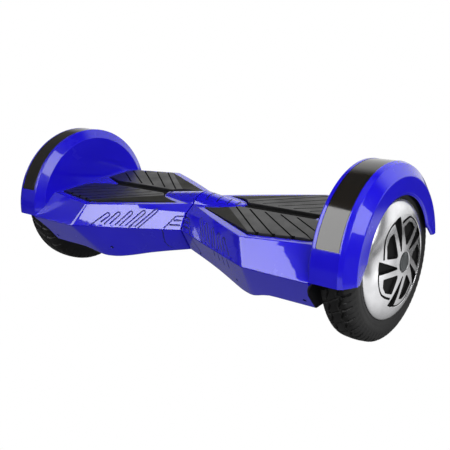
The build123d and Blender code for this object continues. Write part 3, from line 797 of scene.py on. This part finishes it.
# Turned profiles: x, radius about the axle
FENDER = [(241.0, 0.0), (241.0, 102.6), (249.4, 115.6), (284.6, 115.6), (290.0, 113.2),
          (299.8, 99.6), (299.8, 0.0)]
FENDER_RADII = [0, 1.6, 2.2, 1.2, 2.6, 3.4, 0]
WHEEL_WELL = [(243.0, 0.0), (243.0, 101.9), (251.2, 112.6), (283.6, 112.6), (287.6, 110.4),
              (296.7, 98.0), (296.7, 78.2), (297.2, 77.3), (298.1, 77.0), (298.8, 77.5),
              (299.4, 79.0), (299.8, 80.6), (303.5, 84.0), (304.0, 0.0)]
# Slopes that cut the arch wall back at both lower ends, in (y, z) at three x
ARCH_SLOPE = [(296.5, [(-73.0, 125.0), (73.0, 125.0), (97.0, 98.0), (-97.0, 98.0)]),
              (298.6, [(-73.2, 125.3), (73.2, 125.3), (97.3, 98.0), (-97.3, 98.0)]),
              (300.9, [(-77.5, 127.0), (77.5, 127.0), (101.0, 98.0), (-101.0, 98.0)])]


def ring_profile(x0, x1, r0, r1):
    return [(x0, r0), (x1, r0), (x1, r1), (x0, r1)]


def plug(x0, x1, radius, segments, material=BLUE, shift=0.0):
    """Disc about the axle, used as a cutter."""
    profile = [(x0, 0.0), (x0, radius), (x1, radius), (x1, 0.0)]
    return lathe("plug", profile, segments, material, shift=shift)


def cut_axle_openings(shell):
    """The axle passage and the round opening at the joint."""
    cut(shell, plug(230.0, 240.0, 13.0, 48))
    cut(shell, plug(-1.0, 9.0, 26.3, 64, shift=2.1))


def build_upper_shell(tree):
    zone = brick(-60, 105.4)
    shell = body_outer()
    cut(shell, zone, keep=True)
    fender = lathe("fender", rounded(FENDER, FENDER_RADII, 6), 256, BLUE)
    cut(fender, zone)
    fuse(shell, fender)
    cut(shell, cavity())
    cut(shell, lathe("well", WHEEL_WELL, 256, BLUE))
    cut(shell, stack("slope", ARCH_SLOPE, BLUE, axis="x"))
    fuse(shell, tongue())
    # recess of the foot pad
    narrow, wide = (level(PAD_OUTLINE, PAD_RADII, gap) for gap in (0.5, 1.15))
    cut(shell, stack("recess", [(132.0, narrow), (134.8, narrow), (135.55, wide), (141.0, wide)],
                     BLUE))
    # seat and window of the light strip
    cut(shell, lathe("seat", ring_profile(253.6, 283.4, 113.1, 118.0), 144, BLUE, 21.2, 158.8))
    cut(shell, lathe("win", ring_profile(257.5, 279.5, 109.0, 118.0), 144, BLUE, 25.5, 154.5))
    for slash in SLASHES:
        floor_z = [roof_z(x, y) - SLASH_DEPTH for x, y in slash]
        cut(shell, stack("slash", [(floor_z, slash), ([z + 8 for z in floor_z], slash)], GROOVE_PAINTED_SHADE))
    cut_axle_openings(shell)
    for y in (-38, 38):
        cut(shell, prism(circle(125, y, 3.7, 24), 126, 134, BLUE))
    for cutter in rear_too(upper_grooves(tree)):
        cut(shell, cutter)
    return shell


# ---------------------------------------------------- grooves on the surface
def body_tree():
    probe = body_outer()
    bm = bmesh.new()
    bm.from_mesh(probe.data)
    tree = BVHTree.FromBMesh(bm)
    bm.free()
    bpy.data.objects.remove(probe)
    return tree


def front_point(tree, x, z, lift=0.0):
    """Point on the front of the body, lifted along its normal; None off the body."""
    place, normal = tree.ray_cast(Vector((x * MM, -0.3, z * MM)), Vector((0, 1, 0)))[:2]
    if place is None:
        return None
    return tuple(c / MM for c in place + normal * (lift * MM))


def on_surface(tree, path, step, lift):
    """(x, z) path divided into short steps and laid on the front of the body."""
    fine = []
    for (x0, z0), (x1, z1) in zip(path[:-1], path[1:]):
        n = max(1, int(math.hypot(x1 - x0, z1 - z0) / step))
        fine += [(x0 + (x1 - x0) * (k / n), z0 + (z1 - z0) * (k / n)) for k in range(n)]
    fine.append(path[-1])
    points = [front_point(tree, x, z, lift) for x, z in fine]
    return [p for p in points if p is not None]


# Hairpin grooves: top x, top z, bottom x, bottom z, width, share of the length run back
HAIRPINS = [(110.0, 123.4, 128.5, 108.4, 5.6, 0.52), (95.8, 124.4, 110.5, 108.6, 5.4, 0.72),
            (78.6, 125.6, 94.6, 107.9, 5.2, 0.84), (61.0, 127.0, 79.8, 107.4, 5.2, 0.90),
            (44.0, 129.4, 65.4, 107.0, 4.6, 0.97)]


def hairpin(top_x, top_z, bottom_x, bottom_z, width, share):
    """Up the outer line, round the hook at the top and part of the way back, joint side."""
    dx, dz = top_x - bottom_x, top_z - bottom_z
    length = math.hypot(dx, dz)
    ux, uz = dx / length, dz / length
    sx, sz = -uz, ux  # sideways towards the joint
    half = width / 2
    cx, cz = top_x + sx * half, top_z + sz * half
    path = [(bottom_x, bottom_z), (top_x, top_z)]
    for k in range(1, 7):
        c, s = math.cos(math.pi * k / 6), math.sin(math.pi * k / 6)
        path.append((cx - sx * half * c + ux * half * s, cz - sz * half * c + uz * half * s))
    x, z = path[-1]
    path.append((x - dx * share, z - dz * share))
    return path


def upper_grooves(tree):
    cuts = [tube(on_surface(tree, hairpin(*row), 1.2, -0.15), 1.15, GROOVE_PAINTED_SHADE) for row in HAIRPINS]
    # small notches along the parting line
    for x in (130.6, 115.0, 98.6, 83.9, 69.8):
        path = on_surface(tree, [(x - 2.4, 107.3), (x + 2.4, 107.3)], 1.2, 0.35)
        cuts.append(tube(path, 1.0, BLUE))
    # panel line and louvres of the collar beside the joint
    line = [(2.2, 121.9), (8.0, 121.8), (12.6, 121.4), (14.4, 119.8), (24.6, 106.4)]
    cuts.append(tube(on_surface(tree, line, 1.5, -0.05), 1.15, GROOVE_PAINTED_SHADE))
    for z, x in ((116.7, 14.2), (110.9, 18.4)):
        cuts.append(tube(on_surface(tree, [(3.4, z), (x, z)], 1.2, -0.1), 1.4, GROOVE_PAINTED_SHADE))
    return cuts


# ------------------------------------------------------------- lower shell
# The wheel end curves out under the fender and clears the tyre: x, z
WHEEL_END = [(252.6, 107.0), (251.6, 104.6), (247.2, 99.2), (243.4, 93.6), (240.7, 87.6),
             (239.1, 81.0), (238.6, 74.0), (238.6, -60.0), (340.0, -60.0), (340.0, 107.0)]
# Slits in the right half only, two (x, z) ends each
SLITS = [((89.5, 102.5), (83.5, 92.5)), ((99.5, 102.5), (92.5, 88.0)),
         ((110.0, 102.5), (102.0, 85.0)), ((121.0, 102.5), (113.0, 84.0))]
COLLAR_LINE = [(26.4, 104.2), (28.2, 97.0), (30.8, 90.0), (32.8, 82.5), (31.8, 76.8),
               (27.0, 72.6)]
BOSS_PLACES = [(80.0, 34.0), (150.0, 72.0), (222.0, 72.0)]  # x, y; one on each side


def add_boss(shell, x, y):
    """Screw boss with a counterbore from below and a screw hole through its top."""
    (x0, _, z0), (x1, _, z1) = LOWER_RAIL[:2]
    seat = z0 - (z0 - z1) * (x - x0) / (x1 - x0) if x < x1 else z1
    skin_z = belly(x, 2)
    boss, mouth, bore, hole = (circle(x, y, radius, 32, turn=0.5)
                               for radius in (5.2, 4.6, 3.9, 2.1))
    fuse(shell, stack("boss", [(skin_z + 1.0, boss), (71.45, boss)], BLUE))
    cut(shell, stack("bore", [(skin_z - 6, mouth), (skin_z - 0.05, mouth), (skin_z + 0.7, bore),
                              (seat + 4.0, bore)], BLUE))
    cut(shell, stack("hole", [(seat + 2.0, hole), (74.0, hole)], BLUE))


def build_lower_shell(tree):
    shell = body_outer()
    cut(shell, brick(105.0, 240))
    # the faces cut by the end and the tyre plug take the near-black seal rubber: painted shade on
    # the wheel end of the lower shell
    cut(shell, stack("end", [(-160.0, WHEEL_END), (160.0, WHEEL_END)], SEAL_AND_PAINTED_SHADE, axis="y"))
    cut(shell, plug(238.55, 262.0, 104.0, 160, SEAL_AND_PAINTED_SHADE))
    cut(shell, cavity())
    cut_axle_openings(shell)
    cuts = [tube(on_surface(tree, COLLAR_LINE, 1.6, 0.0), 1.05, GROOVE_PAINTED_SHADE)]
    for place in ((118.7, 66.8), (229.0, 71.0)):
        x, y, z = front_point(tree, *place)
        cuts.append(tube([(x, y - 3, z - 2.1), (x, y + 1.6, z + 1.1)], 2.6, GROOVE_PAINTED_SHADE, sides=16))
    for cutter in rear_too(cuts):
        cut(shell, cutter)
    for x, y in BOSS_PLACES:
        for side in (-y, y):
            add_boss(shell, x, side)
    return shell


def slit_cutters(tree):
    slits = [tube(on_surface(tree, ends, 2.0, 0.05), 0.85, GROOVE_PAINTED_SHADE) for ends in SLITS]
    ends = [front_point(tree, 12.5, 86.0, 0.2), front_point(tree, 18.5, 80.5, 0.2)]
    slits.append(tube(ends, 1.7, GROOVE_PAINTED_SHADE, sides=10))
    return rear_too(slits)


def face_hole(radius):
    """Round cutter square to the middle of the rear lower face."""
    _, middle_y, middle_z = MIDDLE_RAIL[2]
    _, lower_y, lower_z = LOWER_RAIL[2]
    normal = Vector((0, middle_z - lower_z, middle_y - lower_y)).normalized()
    p = Vector((185.0, -(middle_y + lower_y) / 2, (middle_z + lower_z) / 2))
    return tube([tuple(p - normal * 12), tuple(p + normal * 8)], radius, BLUE, sides=48)


def fit_both(obj, node, name, body="deck", angle=32.0, weighted=True,
             trims=None):
    """Mirror a right-hand piece and hand both over. trims: extra cuts by side."""
    left = mirror_copy(obj, "left_" + name, "x")
    obj.name = "right_" + name
    for piece, side in ((obj, "right"), (left, "left")):
        if trims:
            trims[side](piece)
        tidy(piece, angle)
        if weighted:
            modifier = piece.modifiers.new("wn", "WEIGHTED_NORMAL")
            modifier.keep_sharp = True
            modifier.weight = 80
        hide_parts(side + "_" + node)
        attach(piece, side + "_" + body)


surface = body_tree()
upper_shell = build_upper_shell(surface)
lower_shell = build_lower_shell(surface)


def trim_left(shell):
    cutter = face_hole(9.5)
    mirror_mesh(cutter.data, "x")
    cut(shell, cutter)


def trim_right(shell):
    cut(shell, face_hole(9.6))
    for cutter in slit_cutters(surface):
        cut(shell, cutter)


fit_both(upper_shell, "top_shell", "upper_shell_skin")
fit_both(lower_shell, "bottom_shell", "lower_shell_skin",
         trims={"right": trim_right, "left": trim_left})


# ---------------------------------------------------------------- indicator
def build_lens(slash):
    """Thin grid that follows the roof just above the floor of one slash."""
    n = 6
    w = n + 1
    centre = np.mean(np.array(slash), axis=0)
    c0, c1, c2, c3 = (np.array(p) + (centre - np.array(p)) * 0.03 for p in slash)
    verts, faces = [], []
    for drop in (1.17, 0.85):
        for i in range(w):
            for j in range(w):
                a, b = i / n, j / n
                x, y = (1 - a) * ((1 - b) * c0 + b * c1) + a * ((1 - b) * c3 + b * c2)
                verts.append((x, y, roof_z(x, y) - drop))
    for i in range(n):
        for j in range(n):
            quad = (i * w + j, i * w + j + 1, (i + 1) * w + j + 1, (i + 1) * w + j)
            faces.append(quad)
            faces.append(tuple(w * w + k for k in reversed(quad)))
    edge = list(range(w)) + [i * w + n for i in range(1, w)]
    edge += [n * w + j for j in reversed(range(n))] + [i * w for i in reversed(range(1, n))]
    faces += [(a, b, w * w + b, w * w + a) for a, b in zip(edge, edge[1:] + edge[:1])]
    return make("lens", verts, faces, LENS)


fit_both(join([build_lens(slash) for slash in SLASHES], "lenses", LENS),
         "indicator_lens", "indicator_inserts", angle=40)

# --------------------------------------------------------------------- pads
PAD_TOP = 138.5
# Front raised half of the pad: x, y, corner radius
WING_TABLE = [(26.5, -29.9, 0.6), (146.0, -87.8, 3.0), (232.0, -70.3, 2.0), (232.0, -25.3, 2.0),
              (191.0, -9.2, 4.0), (74.0, -9.2, 2.5), (70.6, -10.2, 3.0), (63.7, -17.1, 4.0),
              (53.2, -23.5, 4.0), (40.2, -27.5, 4.0)]
WING_LEVELS = [(134.6, -0.1), (137.5, -0.18), (138.05, -0.36), (138.38, -0.72),
               (PAD_TOP, -1.2)]  # z, outline offset
# Slanted grooves: inner end, outer end (x, y), extra length past the outer end
PAD_GROOVES = [((70.0, -14.5), (143.0, -74.5), 16.0), ((93.0, -14.5), (165.0, -71.5), 16.0),
               ((118.0, -14.5), (192.0, -69.0), 16.0), ((143.0, -14.5), (218.0, -66.0), 16.0),
               ((168.0, -14.5), (231.0, -58.0), 6.0)]


def unit(start, end):
    d = np.array(end) - np.array(start)
    return d / np.linalg.norm(d)


def pad_groove(inner, outer, extra):
    along = unit(inner, outer)
    side = np.array([-along[1], along[0]])
    start, end = np.array(inner), np.array(outer) + along * extra

    def strip(w):
        """Strip of half width w, pointed at its inner end."""
        return [start + side * w, start - along * w * 0.8, start - side * w,
                end - side * w, end + side * w]
    return stack("groove", [(137.1, strip(0.6)), (138.75, strip(1.2)), (140.0, strip(1.2))],
                 CHANNEL_PAINTED_SHADE)


def pad_notch(inner, outer):
    """Stepped notch where a groove meets the front outer edge of the pad."""
    along = unit(inner, outer)
    edge_start = np.array(PAD_OUTLINE[1])
    edge = unit(PAD_OUTLINE[1], PAD_OUTLINE[2])
    t = np.linalg.solve(np.array([along, -edge]).T, edge_start - np.array(inner))
    p = np.array(inner) + along * t[0]
    out = np.array([edge[1], -edge[0]])
    corners = [p + edge * 4.0 + out * 3, p + edge * 3.0 - out * 3.0,
               p - edge * 1.0 - out * 3.0, p - edge * 1.0 + out * 3]
    return prism(corners, 135.9, 140.0, CHANNEL_PAINTED_SHADE)


def build_pad():
    pad = stack("base", [(z, level(PAD_OUTLINE, PAD_RADII, d))
                         for z, d in ((133.7, -0.1), (134.9, -0.1), (135.2, -0.35))], CHANNEL_PAINTED_SHADE)
    outline, radii = [row[:2] for row in WING_TABLE], [row[2] for row in WING_TABLE]
    wing = stack("wing", [(z, level(outline, radii, d, 4)) for z, d in WING_LEVELS], PAD)
    # the triangle ahead of the first groove falls away to the outer edge
    cut(wing, above_plane((60.0, -19.0, PAD_TOP), (147.5, -88.5, PAD_TOP),
                          (25.5, -29.8, 135.9), WEDGE))
    # and the top falls away towards the wheel
    cut(wing, above_plane((214.0, 0, PAD_TOP), (214.0, -50, PAD_TOP), (232.2, 0, 136.3), PAD))
    cut(wing, join([pad_groove(*row) for row in PAD_GROOVES], "grooves", CHANNEL_PAINTED_SHADE))
    cut(wing, join([pad_notch(*row[:2]) for row in PAD_GROOVES[:4]], "notches", CHANNEL_PAINTED_SHADE))
    rear_wing = mirror_copy(wing, "rear_wing", "y")
    fuse(pad, wing)
    fuse(pad, rear_wing)
    return pad


fit_both(build_pad(), "foot_pad", "foot_pad_rubber", body="pad", angle=28)

# -------------------------------------------------------------- light strip
strip_profile = rounded(ring_profile(253.9, 283.1, 113.3, 115.35), [0, 0, 0.5, 0.5], 3)
fit_both(lathe("strip", strip_profile, 160, STRIP, 21.55, 158.45),
         "light_strip", "light_strip_lens", angle=30)

# --------------------------------------------------------------------- tyre
TYRE_X = 270.0
TYRE_SEGMENTS = 720
TREAD_PITCHES = 36
# Bead and sidewall up to the tread: distance from the tyre's mid-plane, radius
SIDEWALL = [(15.45, 68.45), (17.3, 72.45), (20.7, 72.7), (21.3, 74.0), (21.5, 75.6),
            (21.9, 76.2), (22.0, 78.0), (21.8, 79.0), (22.2, 81.5), (22.35, 84.0),
            (22.2, 86.4), (21.7, 87.4), (21.5, 88.8), (21.0, 89.8), (20.3, 91.8), (19.4, 93.8)]


def crown(x):
    """Tread radius at a distance from the mid-plane."""
    if abs(x) < 12:
        return 101.45 - 0.9 * (abs(x) / 12.0) ** 2.2
    return 100.55 - 5.0 * ((abs(x) - 12) / 6.6) ** 1.8


def groove_mask(distance, half_width, blur=0.45):
    return np.clip((half_width + blur - distance) / (2 * blur), 0, 1)


def tread_depth(angle, x):
    pitch = angle * TREAD_PITCHES / (2 * math.pi)

    def cross_groove(phase, half_width):
        phase = phase % 1.0
        arc = np.minimum(phase, 1 - phase) * (2 * math.pi * 100 / TREAD_PITCHES)
        return groove_mask(arc, half_width)
    triangle = np.abs(pitch % 1.0 * 2 - 1) * 2 - 1
    depth = np.zeros_like(x)
    for side in (-1, 1):
        zigzag = side * 7.2 + 1.9 * triangle * side
        depth = np.maximum(depth, 2.3 * groove_mask(np.abs(x - zigzag), 1.15))
        # slanted shoulder grooves, with shallow narrow ones halfway between
        slant = (pitch + side * 0.25 + (np.abs(x) - 7) * 0.022 * side) % 1.0
        depth = np.maximum(depth, np.where(side * x > 7.0, 2.4 * cross_groove(slant, 1.25), 0))
        depth = np.maximum(depth, np.where(side * x > 11.5,
                                           1.2 * cross_groove(slant + 0.5, 0.5), 0))
    centre = 1.7 * cross_groove(pitch + x * 0.035, 0.7)
    return np.maximum(depth, np.where(np.abs(x) < 7.0, centre, 0))


def build_tyre():
    """Section from bead over the tread to the other bead, swept with the tread cut in."""
    section_rows = [(x, r, 0) for x, r in SIDEWALL]  # x, radius, 1 on the tread
    section_rows += [(x, crown(x), 1) for x in np.linspace(18.6, -18.6, 53)]
    section_rows += [(-x, r, 0) for x, r in reversed(SIDEWALL)]
    section_x, section_r, tread = np.array(section_rows).T
    m = len(section_rows)
    angle, x = np.meshgrid(np.arange(TYRE_SEGMENTS) / TYRE_SEGMENTS * 2 * math.pi, section_x,
                           indexing="ij")
    radius = section_r - tread_depth(angle, x) * tread
    # low radial ribs on the shoulder of the sidewall
    rib = (np.cos(angle * 72) > 0.2) * ((section_r > 88.5) & (section_r < 92.5))
    x = x + np.sign(x) * 0.25 * rib * (1 - tread)
    verts = np.stack([x + TYRE_X, radius * np.cos(angle), radius * np.sin(angle) + AXLE_Z], -1)
    faces = []
    for i in range(TYRE_SEGMENTS):
        here, there = i * m, (i + 1) % TYRE_SEGMENTS * m
        for j in range(m):
            k = (j + 1) % m
            faces.append((here + j, there + j, there + k, here + k))
    return make("tyre", verts.reshape(-1, 3), faces, TYRE)


fit_both(build_tyre(), "tyre", "tyre_tread", body="wheel", angle=35,
         weighted=False)

# ---------------------------------------------------------------------- rim
SPOKES = 5
FIRST_SPOKE = 162.3  # degrees from +Y towards +Z
# Rim profile before and after the dished face: x, radius
RIM_BARREL = [(249.0, 60.5), (249.0, 71.2), (249.3, 71.8), (250.0, 72.0), (251.8, 72.0),
              (252.5, 71.6), (254.5, 68.3), (285.5, 68.3), (287.3, 71.9), (288.0, 72.3),
              (290.6, 72.3)]
RIM_HUB = [(305.9, 13.2), (305.6, 12.4), (304.9, 11.9), (303.0, 11.6), (302.6, 10.95),
           (297.0, 10.95), (297.0, 17.52), (287.0, 17.52), (287.0, 24.0), (298.9, 24.0),
           (298.2, 34.0), (296.4, 49.0), (292.0, 57.0), (286.0, 60.5)]
# Pocket outlines: radius, degrees from the spoke
BIG_POCKET = [(45.5, 26.5), (20.0, 52.0), (22.0, 60.0), (41.0, 67.5), (47.0, 50.0), (48.0, 38)]
WEDGE_POCKET = [(17.6, 22.0), (17.4, 28.0), (53.6, 16.6), (54.3, 8.0), (54.3, 0.2)]
# Centre line of the thin hook round the outside: radius, degrees from the spoke, half width
HOOK = [(53.4, 15.5, 1.0), (53.8, 24, 0.8), (53.9, 32, 0.75), (53.6, 40, 0.8),
        (53.0, 46.0, 0.95), (51.6, 50.5, 1.15), (50.0, 56.0, 1.25), (48.0, 63.0, 1.3),
        (46.6, 69.5, 1.3)]


def dish(r):
    """x of the domed outer face at a radius."""
    return 291.0 + 14.8 * (1 - min(1.0, r / 72.3) ** 2.6) ** 0.625


def polar(r, degrees):
    return (r * math.cos(math.radians(degrees)), r * math.sin(math.radians(degrees)))


def pocket(outline, depth, taper, radius):
    """Cutter whose floor follows the dished face at a depth; walls open by the taper."""
    radii = [radius] * len(outline)
    low, high = level(outline, radii, -taper * 0.5), level(outline, radii, taper * 0.5)

    def layer(points, measured, offset):
        return ([dish(math.hypot(*p)) + offset for p in measured],
                [(y, z + AXLE_Z) for y, z in points])
    return stack("pocket", [layer(low, low, -depth), layer(high, high, -0.2),
                            layer(high, high, 3)], POCKET, axis="x")


def hook_outline(spoke):
    centres = [np.array(polar(r, spoke + turn)) for r, turn, _ in HOOK]
    left, right = [], []
    for i, p in enumerate(centres):
        along = unit(centres[max(i - 1, 0)], centres[min(i + 1, len(centres) - 1)])
        side = np.array([-along[1], along[0]])
        left.append(tuple(p + side * HOOK[i][2]))
        right.append(tuple(p - side * HOOK[i][2]))
    return left + right[::-1]


def build_rim():
    profile = RIM_BARREL + [(dish(r), r) for r in (72.25, 72.0, 71.5, 70.6, 69.2, 67.4, 65.0,
                                                   62.2, 59.0, 56.3, 55.2)]
    # a shallow turned step frames the spoke field
    profile += [(dish(r) - 0.5, r) for r in (54.9, 54.2)]
    profile += [(dish(r) - 0.5 * min(1.0, r / 30.0), r)
                for r in (50.0, 45.0, 40.0, 34.0, 28.0, 22.0, 17.0)]
    rim = lathe("rim", profile + RIM_HUB, 192, RIM)
    for k in range(SPOKES):
        spoke = FIRST_SPOKE + 360 // SPOKES * k
        big, wedge = ([polar(r, spoke + turn) for r, turn in table]
                      for table in (BIG_POCKET, WEDGE_POCKET))
        cut(rim, pocket(big, depth=3.4, taper=0.9, radius=1.5))
        cut(rim, pocket(wedge, depth=3.6, taper=0.8, radius=0.7))
        cut(rim, pocket(hook_outline(spoke), depth=2.4, taper=0.3, radius=0.0))
    return rim


fit_both(build_rim(), "wheel_rim", "wheel_rim_turbine", body="wheel",
         angle=30)

CAP_PROFILE = [(301.5, 0.0), (301.5, 10.8), (305.6, 10.8), (306.2, 10.5), (306.5, 9.9),
               (306.55, 8.8), (306.3, 8.5), (306.3, 8.1), (306.6, 7.7), (306.85, 4.0),
               (306.9, 0.0)]  # x, radius
fit_both(lathe("cap", CAP_PROFILE, 96, CAP), "hub_cap", "hub_centre_cap",
         body="wheel", angle=30)

# CAD nodes that stay: edges over 30 degrees are drawn sharp
for node in NODES.values():
    if not node.hide_render:
        node.data.set_sharp_from_angle(angle=math.radians(30))


# -------------------------------------------------------------------- stage
def floor_material():
    """Emission painted by world position; plain white to the camera, clear from below."""
    material, graph, bsdf = new_material("floor_pale")
    graph.tree.nodes.remove(bsdf)
    step, times, plus = graph.step, graph.times, graph.plus
    geometry = graph.node("NewGeometry").outputs
    axes = graph.node("SeparateXYZ", {0: geometry["Position"]}).outputs
    x, y = axes["X"], axes["Y"]
    grain = graph.noise(geometry["Position"], scale=3.0, detail=2.0)
    front = step(y, 0.30, 0.05)
    far_back = step(y, 0.85, 1.3)
    side = times(step(x, 0.26, 0.40), step(x, 0.66, 0.50))
    corner = times(times(step(x, 0.45, 0.52), step(x, 1.1, 0.85)),
                   times(step(y, 0.48, 0.36), step(y, -0.05, 0.1)))
    not_left = step(x, -1.2, -0.3)
    # strengths of the patches, then an even base of 0.04
    glow = times(front, times(not_left, plus(0.12, times(side, 0.85))))
    glow = plus(glow, times(far_back, 0.8))
    glow = plus(glow, times(corner, 0.85))
    glow = plus(glow, 0.04)
    glow = times(glow, graph.remap(grain, source=MID, to=(0.97, 1.03)))
    rays = graph.node("LightPath").outputs
    glow = graph.ray_switch(rays["Is Diffuse Ray"], glow, 0.62)
    glow = graph.ray_switch(rays["Is Camera Ray"], glow, 1.0)
    emission = graph.node("Emission", {"Color": (1, 1, 1), "Strength": glow}).outputs[0]
    clear = graph.node("BsdfTransparent").outputs[0]
    surface_mix = graph.node("MixShader", {0: geometry["Backfacing"], 1: emission, 2: clear})
    graph.fill(graph.tree.nodes["Material Output"], {"Surface": surface_mix.outputs[0]})
    material.cycles.emission_sampling = "NONE"
    return material


def build_floor():
    mesh = bpy.data.meshes.new("floor")
    mesh.from_pydata([(-30, -30, 0), (30, -30, 0), (30, 30, 0), (-30, 30, 0)], [],
                     [(0, 1, 2, 3)])
    mesh.materials.append(floor_material())
    add_object("floor", mesh)


def build_world():
    """White to the camera; other rays see soft patches above, behind and to the left."""
    world = bpy.data.worlds.new("studio")
    bpy.context.scene.world = world
    world.use_nodes = True
    graph = Graph(world.node_tree)
    step, times, plus = graph.step, graph.times, graph.plus
    direction = graph.node("TexCoord").outputs["Generated"]
    axes = graph.node("SeparateXYZ", {0: direction}).outputs
    above = times(step(axes["Z"], 0.86, 0.97), 0.26)
    behind = times(step(axes["Y"], 0.50, 0.72), plus(0.80, times(step(axes["X"], 0.1, 0.5), 0.40)))
    left = times(step(axes["X"], -0.70, -0.95), 0.16)
    glow = plus(plus(above, behind), plus(left, 0.06))
    camera_ray = graph.node("LightPath").outputs["Is Camera Ray"]
    graph.fill(world.node_tree.nodes["Background"],
               {"Color": (1, 1, 1), "Strength": graph.ray_switch(camera_ray, glow, 1.0)})


def direction_to(azimuth, elevation):
    """Unit vector; azimuth in radians from the front (-Y) towards +X."""
    return Vector((math.sin(azimuth) * math.cos(elevation),
                   -math.cos(azimuth) * math.cos(elevation), math.sin(elevation)))


def softbox(name, azimuth, elevation, distance, width, height, radiance,
            diffuse=True, glossy=True, target=(0, 0, 0.12)):
    """Area light seen from the target at an angle in degrees, sized in metres."""
    toward = direction_to(math.radians(azimuth), math.radians(elevation))
    light = bpy.data.lights.new(name, "AREA")
    light.shape = "RECTANGLE"
    light.size, light.size_y = width, height
    light.energy = radiance * math.pi * width * height
    obj = add_object(name, light)
    obj.location = Vector(target) + toward * distance
    obj.rotation_euler = (-toward).to_track_quat("-Z", "Y").to_matrix().to_euler()
    obj.visible_camera = False
    obj.visible_diffuse = diffuse
    obj.visible_glossy = glossy


def reflection(name, azimuth, elevation, wide, high, radiance):
    """Distant softbox seen only in reflections; wide and high are angles in degrees."""
    distance = 12.0
    width, height = (2 * distance * math.tan(math.radians(a) / 2) for a in (wide, high))
    softbox(name, azimuth, elevation, distance, width, height, radiance, diffuse=False)


build_floor()
build_world()
reflection("window_front", azimuth=3.4, elevation=31.0, wide=21.5, high=28, radiance=8.5)
reflection("window_left", azimuth=-42.5, elevation=36.5, wide=29, high=41, radiance=5.2)
reflection("window_right", azimuth=86.0, elevation=28.0, wide=32, high=28, radiance=4.2)
reflection("skylight", azimuth=62.0, elevation=58.0, wide=18, high=10, radiance=5.0)
# these light the faces and stay out of reflections
softbox("key_right", azimuth=62.0, elevation=34.0, distance=1.5, width=0.9, height=0.7,
        radiance=9.6, glossy=False, target=(0.15, 0, 0.12))
softbox("overhead", azimuth=60.0, elevation=78.0, distance=1.6, width=1.2, height=0.8,
        radiance=3.0, glossy=False)
softbox("front_fill", azimuth=-32.0, elevation=30.0, distance=3.0, width=1.4, height=1.0,
        radiance=4.4, glossy=False)
softbox("rear_fill", azimuth=196.0, elevation=30.0, distance=3.0, width=1.6, height=1.0,
        radiance=3.6, glossy=False)


# ------------------------------------------------------------------- camera
def build_camera(azimuth, elevation, roll, place, lens):
    back = direction_to(math.radians(azimuth), math.radians(elevation))
    roll = math.radians(roll)
    right = (-back).cross(Vector((0, 0, 1))).normalized()
    up = right.cross(-back)
    rolled_right = right * math.cos(roll) + up * math.sin(roll)
    rolled_up = right * (-math.sin(roll)) + up * math.cos(roll)
    camera = bpy.data.cameras.new("cam")
    camera.sensor_width = 36.0
    camera.lens = lens
    camera.clip_start = 0.01
    camera.clip_end = 100
    obj = add_object("cam", camera)
    matrix = Matrix((rolled_right, rolled_up, back)).transposed().to_4x4()
    matrix.translation = place
    obj.matrix_world = matrix
    bpy.context.scene.camera = obj


build_camera(azimuth=40.9296, elevation=18.3128, roll=-3.8879,
             place=(0.631278, -0.687521, 0.403868), lens=54.63392)
bpy.context.scene.view_settings.view_transform = "Standard"
